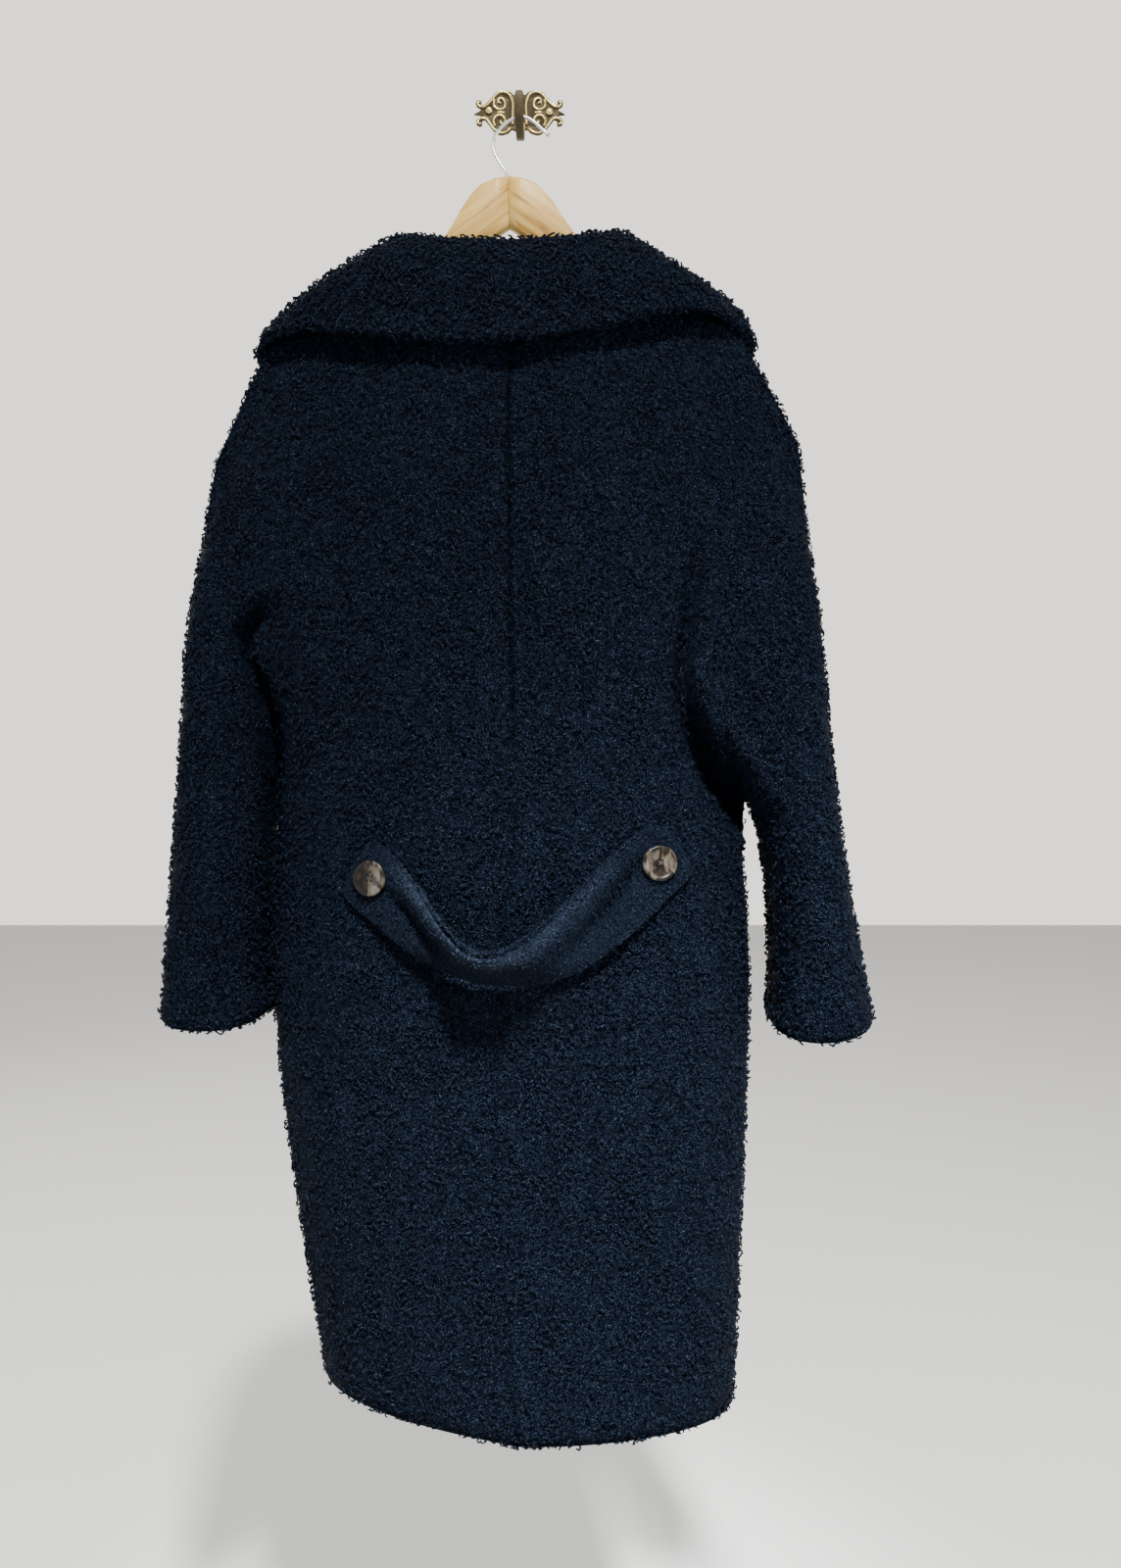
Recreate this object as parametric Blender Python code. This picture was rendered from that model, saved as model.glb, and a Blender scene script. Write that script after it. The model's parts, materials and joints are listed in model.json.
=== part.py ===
"""Long boucle wool coat with a wide collar and a buttoned half belt, on a wooden hanger and a brass wall hook.

Metres, +Z up. The wall is the plane y = 0 and the coat's back faces -Y. The origin is the middle of the
brass plate's back face. Left and right are the wearer's, who faces the wall: left is -X, right is +X.
"""
import math
from collections import namedtuple

import bmesh
import bpy
import numpy as np
from mathutils import Vector
from mathutils.bvhtree import BVHTree

for old in list(bpy.data.objects):
    bpy.data.objects.remove(old, do_unlink=True)

MM = 0.001
LEFT, RIGHT = -1, 1

# Driving sizes of the cloth
CLOTH = 3.0 * MM                # one layer of the coat's cloth
COLLAR_CLOTH = 2 * CLOTH        # the collar's two layers, sewn together
BELT_CLOTH = 2.6 * MM           # one layer of the half belt
SEAM_GAP = 0.3 * MM             # between two pieces that are sewn together
ARMHOLE_GAP = 0.7 * MM          # the same at the armholes, whose seams turn sharply
UNDERARM = -0.631               # height of the underarm points
FRONT_LAP = 0.022               # how far each front reaches past the middle

RIM_SLANT = np.array([0.11, 0.37, 1.0])    # rims split from their lower end, alike on both sides of a seam

# Rows and columns of the cloth's grids
BACK_NECK_COLUMNS = 5
SHOULDER_COLUMNS = 9
BACK_COLUMNS = BACK_NECK_COLUMNS + SHOULDER_COLUMNS
UPPER_ROWS = 12
LOWER_ROWS = 11
ROUND_ROWS = 2                  # rows that round the shoulder over the hanger
SLEEVE_ROWS = 12

# Hanger
HANGER_TILT = math.radians(1.7)
HANGER_TOP = Vector((-0.0086, -0.055, -0.0853))
HANGER_THICK = 12 * MM
WIRE = 3.0 * MM

Point = namedtuple("Point", "x y z")
Section = namedtuple("Section", "height left right side_y back_y middle_x full_left full_right")
Ring = namedtuple("Ring", "outer_x outer_z inner_x inner_z back_y front_y dip")
Fold = namedtuple("Fold", "from_x from_z to_x to_z width depth")


# Curves and tables

def as_rows(points):
    """A list of points or of rows of a table, as an array of numbers."""
    return np.array([tuple(p) for p in points], dtype=float)


def along(points):
    """How far along the line each point lies, from 0 to 1."""
    steps = np.linalg.norm(np.diff(points, axis=0), axis=1)
    reach = np.concatenate([[0.0], np.cumsum(steps)])
    return reach / reach[-1]


def hermite(knots, values, places):
    """A smooth curve through the values at the knots, read at the places."""
    slopes = np.gradient(values, knots, axis=0, edge_order=1)
    read = []
    for place in places:
        i = int(np.clip(np.searchsorted(knots, place) - 1, 0, len(knots) - 2))
        span = knots[i + 1] - knots[i]
        t = (place - knots[i]) / span
        start = (1 + 2 * t) * (1 - t) ** 2 * values[i] + t * (1 - t) ** 2 * span * slopes[i]
        end = t * t * (3 - 2 * t) * values[i + 1] - t * t * (1 - t) * span * slopes[i + 1]
        read.append(start + end)
    return np.array(read)


def smooth_line(points, places):
    """Points of the smooth curve through some points, at places from 0 to 1 along it."""
    points = as_rows(points)
    return hermite(along(points), points, places)


def even(count):
    """Places from 0 to 1 in equal steps."""
    return np.linspace(0.0, 1.0, count + 1)


def read_by_height(rows, height):
    """One row of a table, read smoothly at a height."""
    table = as_rows(sorted(rows, key=lambda row: row.height))
    return Section(*hermite(table[:, 0], table, [height])[0])


def in_mm(rows):
    """A table written in millimetres, in metres."""
    return [type(row)(*(value * MM for value in row)) for row in rows]


# Shells of cloth

def grid_normals(grid, closed=False):
    """The outward direction at each point of a grid, rows by columns."""
    if closed:
        across = np.roll(grid, -1, axis=1) - np.roll(grid, 1, axis=1)
    else:
        across = np.gradient(grid, axis=1)
    up = np.gradient(grid, axis=0)
    normals = np.cross(across, up)
    return normals / np.linalg.norm(normals, axis=2, keepdims=True)


def unit(vectors):
    """Vectors scaled to length 1."""
    vectors = np.asarray(vectors, dtype=float)
    return vectors / np.linalg.norm(vectors, axis=-1, keepdims=True)


class Panel:
    """A piece of cloth: a grid of points on its outer face and the way in from each of them."""

    def __init__(self, grid, thickness, closed=False, flip=False):
        self.grid = np.array(grid, dtype=float)
        self.closed = closed
        self.normals = grid_normals(self.grid, closed) * (-1.0 if flip else 1.0)
        self.inward = -self.normals * thickness
        self.thickness = thickness

    def outer(self, lift=0.0):
        """The outer face's grid, or one that lies a little outside it."""
        return self.grid + self.normals * lift


def edge_normals(panel, where, inner, closed):
    """The outward direction at an edge, square to the edge and to the way into the piece."""
    line = panel.grid[where]
    run = np.roll(line, -1, axis=0) - np.roll(line, 1, axis=0) if closed else np.gradient(line, axis=0)
    normals = unit(np.cross(run, panel.grid[inner] - line))
    facing = np.sum(normals * panel.normals[where], axis=-1, keepdims=True)
    return np.where(facing < 0, -normals, normals)


def mitre(panel, where, shared, normals):
    """Turns an edge's way in to the shared direction, longer where the pieces meet at an angle."""
    lean = np.mean([np.sum(shared * own, axis=-1, keepdims=True) for own in normals], axis=0)
    panel.inward[where] = -shared * panel.thickness / np.clip(lean, 0.45, 1.0)


def shell_mesh(name, panel):
    """A closed mesh from a panel: outer face, inner face and the rims between them."""
    rows, columns = panel.grid.shape[:2]
    outer = panel.grid.reshape(-1, 3)
    inner = (panel.grid + panel.inward).reshape(-1, 3)
    count = rows * columns
    around = columns if panel.closed else columns - 1

    def at(row, column):
        return row * columns + column % columns

    faces = []
    for row in range(rows - 1):
        for column in range(around):
            a, b = at(row, column), at(row, column + 1)
            c, d = at(row + 1, column + 1), at(row + 1, column)
            faces += [[a, b, c], [a, c, d]]
            faces += [[a + count, c + count, b + count], [a + count, d + count, c + count]]
    rims = [[at(0, c) for c in range(columns)], [at(rows - 1, c) for c in reversed(range(columns))]]
    if panel.closed:
        rims = [rim + rim[:1] for rim in rims]
    else:
        rims.append([at(r, columns - 1) for r in range(rows)])
        rims.append([at(r, 0) for r in reversed(range(rows))])
    for rim in rims:
        for here, there in zip(rim, rim[1:]):
            if outer[here] @ RIM_SLANT < outer[there] @ RIM_SLANT:
                faces += [[there, here, there + count], [here, here + count, there + count]]
            else:
                faces += [[there, here, here + count], [there, here + count, there + count]]
    mesh = bpy.data.meshes.new(name)
    mesh.from_pydata([tuple(p) for p in outer] + [tuple(p) for p in inner], [], faces)
    mesh.update()
    return mesh


def turn_outwards(mesh):
    """Makes every face of a closed mesh point out."""
    shape = bmesh.new()
    shape.from_mesh(mesh)
    bmesh.ops.remove_doubles(shape, verts=shape.verts, dist=1e-6)
    bmesh.ops.recalc_face_normals(shape, faces=shape.faces)
    if shape.calc_volume(signed=True) < 0:
        bmesh.ops.reverse_faces(shape, faces=shape.faces)
    shape.to_mesh(mesh)
    shape.free()
    mesh.update()


def material(name, colour, roughness, metallic=0.0):
    """A plain finish."""
    made = bpy.data.materials.new(name)
    made.use_nodes = True
    surface = made.node_tree.nodes["Principled BSDF"]
    surface.inputs["Base Color"].default_value = (*colour, 1.0)
    surface.inputs["Roughness"].default_value = roughness
    surface.inputs["Metallic"].default_value = metallic
    return made


def add_object(name, mesh, finish, smooth=True):
    """Puts a mesh in the scene with its own finish."""
    piece = bpy.data.objects.new(name, mesh)
    bpy.context.scene.collection.objects.link(piece)
    mesh.materials.clear()
    mesh.materials.append(material(name + "_finish", *finish))
    if smooth:
        mesh.shade_smooth()
        mesh.set_sharp_from_angle(angle=math.radians(40))
    return piece


NAVY = ((0.010, 0.016, 0.038), 0.95)
HORN = ((0.12, 0.10, 0.085), 0.3)
BEECH = ((0.72, 0.50, 0.28), 0.5)
STEEL = ((0.75, 0.75, 0.74), 0.25, 1.0)
BRASS = ((0.42, 0.32, 0.14), 0.4, 1.0)


def add_cloth(name, panel, finish=NAVY):
    """Adds one piece of cloth."""
    mesh = shell_mesh(name, panel)
    turn_outwards(mesh)
    return add_object(name, mesh, finish)


# Hanger's frame and upper edge, which the shoulders rest on

HangerEdge = namedtuple("HangerEdge", "out down")
HANGER_UPPER = in_mm([
    HangerEdge(0, 0), HangerEdge(13, 1.5), HangerEdge(24, 6), HangerEdge(33, 14.5), HangerEdge(41.5, 26),
    HangerEdge(49, 38), HangerEdge(57, 50), HangerEdge(67, 60.5), HangerEdge(82, 70.5), HangerEdge(110, 84),
    HangerEdge(140, 98.5), HangerEdge(170, 113.5), HangerEdge(181, 120.5)])
HANGER_LOWER = in_mm([
    HangerEdge(182, 136), HangerEdge(168, 132), HangerEdge(140, 120), HangerEdge(110, 107.5),
    HangerEdge(66, 85), HangerEdge(30, 64.5), HangerEdge(0, 45)])


def in_hanger(side, out, down, depth=0.0):
    """A place given by how far out, down and towards the viewer it lies in the tilted hanger."""
    across = side * out
    return Vector((HANGER_TOP.x + across * math.cos(HANGER_TILT) + down * math.sin(HANGER_TILT),
                   HANGER_TOP.y - depth,
                   HANGER_TOP.z + across * math.sin(HANGER_TILT) - down * math.cos(HANGER_TILT)))


def hanger_drop(out):
    """How far below its top the hanger's upper edge lies."""
    edge = as_rows(HANGER_UPPER)
    return float(hermite(edge[:, 0], edge[:, 1:2], [out])[0, 0])


# Shoulders and neckline

NECK_OUT = 0.100                # from the hanger's middle to the side of the neck
NECK_PLACES = [0, 0.25, 0.5, 0.71, 0.88, 1]
NECK_BACK = Point(-0.006, -0.090, -0.188)
SHOULDER_LIFT = CLOTH + 1.6 * MM
SHOULDER_ROUND = 13.5 * MM
ARMHOLE_TOP = {LEFT: Point(-0.268, -0.060, -0.335), RIGHT: Point(0.250, -0.060, -0.320)}
DROP = {
    LEFT: in_mm([Point(-206, -56, -214), Point(-225, -57, -241), Point(-239, -58, -272)]),
    RIGHT: in_mm([Point(190, -56, -204), Point(204, -57, -235), Point(223, -58, -268)])}


def shoulder_line(side):
    """The shoulder seam, from the neck out along the hanger and down to the top of the armhole."""
    points = []
    for out in (NECK_OUT, 0.125, 0.150, 0.175):
        place = in_hanger(side, out, hanger_drop(out) - SHOULDER_LIFT)
        points.append(tuple(place))
    points += [tuple(p) for p in DROP[side]]
    points.append(tuple(ARMHOLE_TOP[side]))
    return smooth_line(points, even(SHOULDER_COLUMNS))


def neck_line(side, shoulder):
    """The back neckline, from the centre back seam to the side of the neck."""
    start = np.array(NECK_BACK)
    end = shoulder[0]
    span = end - start
    points = [start]
    for share, rise, back in ((0.42, 0.18, 0.03), (0.80, 0.58, 0.24), (0.97, 0.92, 0.66)):
        points.append(start + span * np.array([share, back, rise]))
    points.append(end)
    return smooth_line(points, NECK_PLACES)


# Body sections below the underarm: side seams, back and middle, by height

# (millimetres; the last two columns are how square each half of the back is, in thousandths)
SECTIONS = in_mm([
    Section(-1200, -164, 189, -106, -196, 2, 1650, 2150),
    Section(-1160, -167, 190, -106, -195, 1, 1700, 2150),
    Section(-1100, -175, 193, -105, -192, -5, 1800, 2200),
    Section(-1010, -189, 196, -103, -188, -12, 1950, 2250),
    Section(-880, -206, 201, -100, -183, -17, 2100, 2300),
    Section(-790, -212, 204, -96, -178, -13, 2200, 2350),
    Section(-710, -208, 201, -91, -170, -5, 2300, 2350),
    Section(-668, -205, 196, -86, -164, -1, 2350, 2350),
    Section(-631, -213, 204, -81, -160, 0, 2350, 2350)])
HEM = {LEFT: -1.138, RIGHT: -1.160}
HEM_MIDDLE = -1.157
FRONT_FULLNESS = 3.4
FRONT_DEPTH = {LEFT: -24.0 * MM, RIGHT: -15.5 * MM}


def quarter(share, fullness):
    """How far across and how far out a rounded quarter runs, at a share of its turn."""
    angle = share * math.pi / 2
    return math.sin(angle) ** (2 / fullness), max(math.cos(angle), 0.0) ** (2 / fullness)


def side_x(section, side):
    return section.left if side == LEFT else section.right


def back_point(section, side, share):
    """A point of the back, from the centre seam (0) to the side seam (1)."""
    across, out = quarter(share, (section.full_left if side == LEFT else section.full_right) / MM / 1000)
    return (section.middle_x + (side_x(section, side) - section.middle_x) * across,
            section.side_y + (section.back_y - section.side_y) * out, section.height)


def front_point(section, side, share):
    """A point of a front, from its own edge (0) to the side seam (1)."""
    across, out = quarter(share, FRONT_FULLNESS)
    edge = -side * FRONT_LAP
    return (edge + (side_x(section, side) - edge) * across,
            section.side_y + (FRONT_DEPTH[side] - section.side_y) * out, section.height)


def lower_rows(point_on, side, columns):
    """The grid below the underarm, from the hem up."""
    rows = []
    for step in range(LOWER_ROWS):
        share = step / LOWER_ROWS
        row = []
        for column in range(columns + 1):
            place = column / columns
            hem = HEM_MIDDLE + (HEM[side] - HEM_MIDDLE) * place ** 0.7
            height = hem + (UNDERARM - hem) * share
            row.append(point_on(read_by_height(SECTIONS, height), side, place))
        rows.append(row)
    return rows


# Body above the underarm: each half panel is spanned between its four edges

ARMHOLE_BACK = {
    LEFT: in_mm([Point(-213, -81, -631), Point(-209, -104, -602), Point(-210, -119, -562),
                 Point(-218, -126, -510), Point(-228, -122, -456), Point(-247, -104, -392)]),
    RIGHT: in_mm([Point(204, -81, -631), Point(183, -110, -600), Point(168, -127, -556),
                  Point(169, -134, -500), Point(186, -130, -438), Point(221, -108, -374)])}
ARMHOLE_FRONT = {
    LEFT: in_mm([Point(-213, -81, -631), Point(-211, -50, -605), Point(-211, -31, -562),
                 Point(-215, -24, -510), Point(-227, -24, -456), Point(-247, -31, -392)]),
    RIGHT: in_mm([Point(204, -81, -631), Point(198, -50, -605), Point(192, -29, -560),
                  Point(192, -22, -500), Point(204, -22, -440), Point(226, -30, -374)])}
CENTRE_BACK = in_mm([
    Point(0, -160, -631), Point(-2, -154, -540), Point(-4, -146, -450), Point(-5, -135, -360),
    Point(-6, -118, -280), Point(-6, -101, -225)])
FRONT_EDGE_RISE = in_mm([Point(-22, 0, -631), Point(-22, 0, -540), Point(5, 1, -440), Point(44, 3, -320),
                         Point(70, 9, -225)])


def rounded_top(edge, side, towards, neck_columns):
    """Base and control lines from which the cloth rounds up to the shoulder seam or the neckline."""
    run = np.gradient(edge, axis=0)
    inward = unit(np.stack([run[:, 2], 0 * run[:, 0], -run[:, 0]], axis=1)) * side
    out = np.zeros_like(edge)
    out[:, 1] = towards * SHOULDER_ROUND
    control = edge + out
    base = edge + out + inward * SHOULDER_ROUND * 0.85
    for column in range(neck_columns):
        share = (1 - column / neck_columns) ** 0.7
        plain = edge[column] + np.array([0.0, towards * 3.5 * MM, -15 * MM])
        base[column] = base[column] * (1 - share) + plain * share
        control[column] = control[column] * (1 - share) + (edge[column] + plain) / 2 * share
    return base, control


def span_patch(bottom, top, near, far):
    """A grid spanned between its bottom and top rows and its near and far columns."""
    rows, columns = len(near), len(bottom)
    grid = np.zeros((rows, columns, 3))
    for r in range(rows):
        v = r / (rows - 1)
        for c in range(columns):
            u = c / (columns - 1)
            ruled = (1 - v) * bottom[c] + v * top[c] + (1 - u) * near[r] + u * far[r]
            corners = ((1 - v) * ((1 - u) * bottom[0] + u * bottom[-1])
                       + v * ((1 - u) * top[0] + u * top[-1]))
            grid[r, c] = ruled - corners
    return grid


def ease_rows(grid, first, last, turns):
    """Evens out the inner points of some rows, so that the upper and lower shapes run into each other."""
    for _ in range(turns):
        around = (grid[:-2, 1:-1] + grid[2:, 1:-1] + grid[1:-1, :-2] + grid[1:-1, 2:]) / 4
        grid[first:last, 1:-1] = (grid[first:last, 1:-1] + around[first - 1:last - 1]) / 2
    return grid


def half_panel(side, point_on, columns, edge, towards, neck_columns, near_points, far_points):
    """The whole grid of a half panel, from the hem to its shoulder seam and neckline."""
    base, control = rounded_top(edge, side, towards, neck_columns)
    section = read_by_height(SECTIONS, UNDERARM)
    bottom = np.array([point_on(section, side, c / columns) for c in range(columns + 1)])
    near = smooth_line([tuple(bottom[0])] + near_points + [tuple(base[0])], even(UPPER_ROWS))
    far = smooth_line([tuple(p) for p in far_points] + [tuple(base[-1])], even(UPPER_ROWS))
    near[0], far[0] = bottom[0], bottom[-1]
    upper = span_patch(bottom, base, near, far)
    rounding = []
    for step in range(1, ROUND_ROWS + 1):
        t = step / ROUND_ROWS
        rounding.append((1 - t) ** 2 * base + 2 * t * (1 - t) * control + t * t * edge)
    grid = np.concatenate([np.array(lower_rows(point_on, side, columns)), upper, np.array(rounding)])
    return ease_rows(grid, LOWER_ROWS - 2, LOWER_ROWS + UPPER_ROWS, 8)


# Soft troughs in the back, beside the sleeves and under the belt

BACK_FOLDS = in_mm([
    Fold(150, -470, 146, -560, 26, 7), Fold(150, -600, 185, -668, 24, 9), Fold(190, -700, 176, -840, 30, 5),
    Fold(-208, -470, -196, -620, 24, 6), Fold(-180, -700, -176, -860, 26, 5),
    Fold(60, -500, 70, -720, 55, 2.5), Fold(-70, -480, -84, -700, 55, 2.0),
    Fold(92, -880, 110, -1170, 60, 3.5), Fold(-96, -900, -82, -1170, 60, 3.0)])


def press_folds(grid, folds):
    """Presses soft troughs into a grid, towards the wall."""
    for fold in folds:
        start = np.array([fold.from_x, fold.from_z])
        run = np.array([fold.to_x, fold.to_z]) - start
        places = grid[:, :, [0, 2]] - start
        share = np.clip((places @ run) / (run @ run), 0, 1)
        away = np.linalg.norm(places - share[..., None] * run, axis=2)
        ends = np.sin(np.pi * np.clip(share * 0.8 + 0.1, 0, 1))
        grid[:, :, 1] += fold.depth * ends * np.exp(-(away / fold.width) ** 2)
    return grid


shoulders = {side: shoulder_line(side) for side in (LEFT, RIGHT)}
backs, fronts = {}, {}
for side in (LEFT, RIGHT):
    neck = neck_line(side, shoulders[side])
    top = np.concatenate([neck[:-1], shoulders[side]])
    centre = [tuple(p) for p in CENTRE_BACK[1:]]
    grid = half_panel(side, back_point, BACK_COLUMNS, top, -1, BACK_NECK_COLUMNS, centre, ARMHOLE_BACK[side])
    grid[:, 1:-1] = press_folds(grid[:, 1:-1].copy(), BACK_FOLDS)
    backs[side] = Panel(grid, CLOTH, flip=side == LEFT)
    edge = [(side * p.x, FRONT_DEPTH[side] + p.y * -1.0, p.z) for p in FRONT_EDGE_RISE[1:]]
    grid = half_panel(side, front_point, SHOULDER_COLUMNS, shoulders[side], 1, 0, edge, ARMHOLE_FRONT[side])
    fronts[side] = Panel(grid, CLOTH, flip=side == RIGHT)


# Sleeves

SLEEVE_RINGS = {
    LEFT: in_mm([Ring(-279, -450, -222, -668, -145, -34, 0), Ring(-288, -560, -226, -706, -150, -34, 2),
                 Ring(-298, -700, -227, -765, -156, -36, 5), Ring(-307, -812, -218, -814, -164, -40, 10)]),
    RIGHT: in_mm([Ring(257, -440, 212, -666, -146, -34, 0), Ring(269, -560, 219, -706, -152, -34, 2),
                  Ring(286, -700, 222, -765, -160, -38, 5), Ring(307, -815, 219, -824, -168, -44, 12)])}
RING_FULLNESS = 2.25


def armhole_loop(side):
    """The armhole's points from the shoulder down the back to the underarm and up the front."""
    back = backs[side].grid[LOWER_ROWS:, -1][::-1]
    front = fronts[side].grid[LOWER_ROWS:, -1]
    return np.concatenate([back, front[1:-1]])


def ring_points(ring, turns):
    """A sleeve's ring, from its outer edge round the back to its inner edge and round the front."""
    points = []
    for turn in turns:
        cos, sin = math.cos(turn), math.sin(turn)
        across = math.copysign(abs(cos) ** (2 / RING_FULLNESS), cos)
        deep = math.copysign(abs(sin) ** (2 / RING_FULLNESS), sin)
        points.append(((ring.outer_x + ring.inner_x) / 2 + (ring.outer_x - ring.inner_x) / 2 * across,
                       (ring.back_y + ring.front_y) / 2 + (ring.back_y - ring.front_y) / 2 * deep,
                       (ring.outer_z + ring.inner_z) / 2 + (ring.outer_z - ring.inner_z) / 2 * across
                       - ring.dip * deep))
    return np.array(points)


def sleeve_grid(side):
    """The sleeve's grid, from the cuff up to the armhole."""
    loop = armhole_loop(side)
    half = UPPER_ROWS + ROUND_ROWS
    down = along(loop[:half + 1])
    up = along(np.concatenate([loop[half:], loop[:1]]))
    turns = np.concatenate([down * math.pi, math.pi + up[1:-1] * math.pi])
    rings = [loop] + [ring_points(ring, turns) for ring in SLEEVE_RINGS[side]]
    columns = []
    for place in range(len(loop)):
        columns.append(smooth_line([ring[place] for ring in rings], even(SLEEVE_ROWS) ** 1.15))
    return np.array(columns).transpose(1, 0, 2)[::-1]


sleeves = {side: Panel(sleeve_grid(side), CLOTH, closed=True, flip=side == RIGHT) for side in (LEFT, RIGHT)}

# Seams: rims that lie face to face, then half a gap on each side
Edge = namedtuple("Edge", "panel where inner closed")
TOP, FIRST, LAST = -1, 0, -1
HALF_LOOP = UPPER_ROWS + ROUND_ROWS
WHOLE_LOOP = 2 * HALF_LOOP
every = slice(None)
side_rows = slice(0, LOWER_ROWS + 1)
neck_on = slice(BACK_NECK_COLUMNS, None)
armhole_rows = np.arange(LOWER_ROWS, LOWER_ROWS + HALF_LOOP + 1)


def sew(edges):
    """Joins the edges of two pieces, point by point, in one direction of their rims."""
    normals = [edge_normals(*edge) for edge in edges]
    shared = unit(np.sum(normals, axis=0))
    for edge in edges:
        mitre(edge.panel, edge.where, shared, normals)


def next_to(edge):
    """The points of a piece next to its edge."""
    return edge.panel.grid[edge.inner]


def part_seam(edge, neighbour, gap=SEAM_GAP):
    """Moves an edge half a gap away from its neighbour's points, square to the seam and to its rim."""
    line = edge.panel.grid[edge.where]
    run = np.roll(line, -1, axis=0) - np.roll(line, 1, axis=0) if edge.closed else np.gradient(line, axis=0)
    away = unit(np.cross(run, edge.panel.inward[edge.where]))
    facing = np.sum(away * (next_to(edge) - neighbour), axis=-1, keepdims=True)
    edge.panel.grid[edge.where] += np.where(facing < 0, -away, away) * gap / 2


def armhole_edge(panel):
    """A back's or front's part of the armhole, from the underarm up."""
    inner_rows = armhole_rows.copy()
    inner_rows[0] -= 1
    return Edge(panel, (armhole_rows, LAST), (inner_rows, -2), False)


def sleeve_edge(panel, places):
    """The sleeve's edge at some places of the armhole's loop."""
    return Edge(panel, (TOP, places), (-2, places), len(places) == WHOLE_LOOP)


def sew_body_side(side):
    """Sews one half of the coat: side seam, shoulder seam and armhole."""
    back, front, sleeve = backs[side], fronts[side], sleeves[side]
    up_back = np.arange(HALF_LOOP, -1, -1)
    up_front = np.arange(HALF_LOOP, WHOLE_LOOP + 1) % WHOLE_LOOP
    seams = [[Edge(panel, (side_rows, LAST), (side_rows, -2), False) for panel in (back, front)],
             [Edge(back, (TOP, neck_on), (-2, neck_on), False), Edge(front, (TOP, every), (-2, every), False)]]
    holes = [[armhole_edge(back), sleeve_edge(sleeve, up_back)],
             [armhole_edge(front), sleeve_edge(sleeve, up_front)]]
    whole = sleeve_edge(sleeve, np.arange(WHOLE_LOOP))
    loop_normals = edge_normals(*whole)
    for seam in seams + holes:
        sew(seam)
    for row, end, place in ((LOWER_ROWS, 0, HALF_LOOP), (TOP, -1, 0)):
        body = unit(np.sum([edge_normals(*hole[0])[end] for hole in holes], axis=0))
        shared = unit(body + loop_normals[place])
        for panel, where in ((back, (row, LAST)), (front, (row, LAST)), (sleeve, (TOP, place))):
            mitre(panel, where, shared, [loop_normals[place]])
    for one, other in seams:
        part_seam(one, next_to(other))
        part_seam(other, next_to(one))
    body_inside = np.concatenate([next_to(holes[0][0])[::-1], next_to(holes[1][0])[1:-1]])
    for body_edge, sleeve_part in holes:
        part_seam(body_edge, next_to(sleeve_part), ARMHOLE_GAP)
    part_seam(whole, body_inside, ARMHOLE_GAP)


centre_seam = [Edge(backs[side], (every, FIRST), (every, 1), False) for side in (LEFT, RIGHT)]
sew(centre_seam)
part_seam(centre_seam[0], next_to(centre_seam[1]))
part_seam(centre_seam[1], next_to(centre_seam[0]))
for side in (LEFT, RIGHT):
    sew_body_side(side)

# Face of the coat so far, for what lies on it

def face_tree(grids):
    """A search tree of some grids' faces, whose normals point out of the coat."""
    points, faces = [], []
    for grid, flip in grids:
        start = len(points)
        rows, columns = grid.shape[:2]
        points += [tuple(p) for p in grid.reshape(-1, 3)]
        for r in range(rows - 1):
            for c in range(columns - 1):
                quad = [start + r * columns + c, start + r * columns + c + 1,
                        start + (r + 1) * columns + c + 1, start + (r + 1) * columns + c]
                quad = quad[::-1] if flip else quad
                faces += [[quad[0], quad[1], quad[2]], [quad[0], quad[2], quad[3]]]
    return BVHTree.FromPolygons(points, faces)


body_face = face_tree([(backs[side].grid, side == LEFT) for side in (LEFT, RIGHT)]
                      + [(fronts[side].grid, side == RIGHT) for side in (LEFT, RIGHT)]
                      + [(np.concatenate([sleeves[side].grid, sleeves[side].grid[:, :1]], axis=1), side == RIGHT)
                         for side in (LEFT, RIGHT)])
back_face = face_tree([(backs[side].grid, side == LEFT) for side in (LEFT, RIGHT)])


def back_depth(x, z):
    """The y of the back's outer face, seen straight from behind."""
    return back_face.ray_cast(Vector((x, -1.0, z)), Vector((0, 1, 0)))[0].y


# Lapels: the fronts' upper corners, turned back along the roll line

LAPEL_TOP = -6                  # row of the front, from the shoulder down, where the lapel ends
LAPEL_COLUMNS = 6
LAPEL_GAP = 0.7 * MM
LAPEL_WIDTHS = [(0.0, 16), (0.25, 42), (0.5, 68), (0.75, 90), (0.93, 104), (1.0, 84)]   # share of height, mm


def lapel_grid(side):
    """Points on the front, out from the roll line, row by row from the break up."""
    front = fronts[side]
    outside = front.outer(LAPEL_GAP + CLOTH)
    rows = []
    span = range(LOWER_ROWS + 4, len(outside) + LAPEL_TOP)
    for step, row in enumerate(span):
        share = step / (len(span) - 1)
        shares, widths = np.array(LAPEL_WIDTHS).T
        width = float(np.interp(share, shares, widths)) * MM
        line = outside[row]
        reach = along(line)
        length = np.sum(np.linalg.norm(np.diff(line, axis=0), axis=1))
        rows.append(hermite(reach, line, even(LAPEL_COLUMNS) * width / length))
    return np.array(rows)


lapels = {side: Panel(lapel_grid(side), CLOTH, flip=side == RIGHT) for side in (LEFT, RIGHT)}

# Collar: one folded piece that stands on the neckline, rolls over and falls wide over the shoulders

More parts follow.
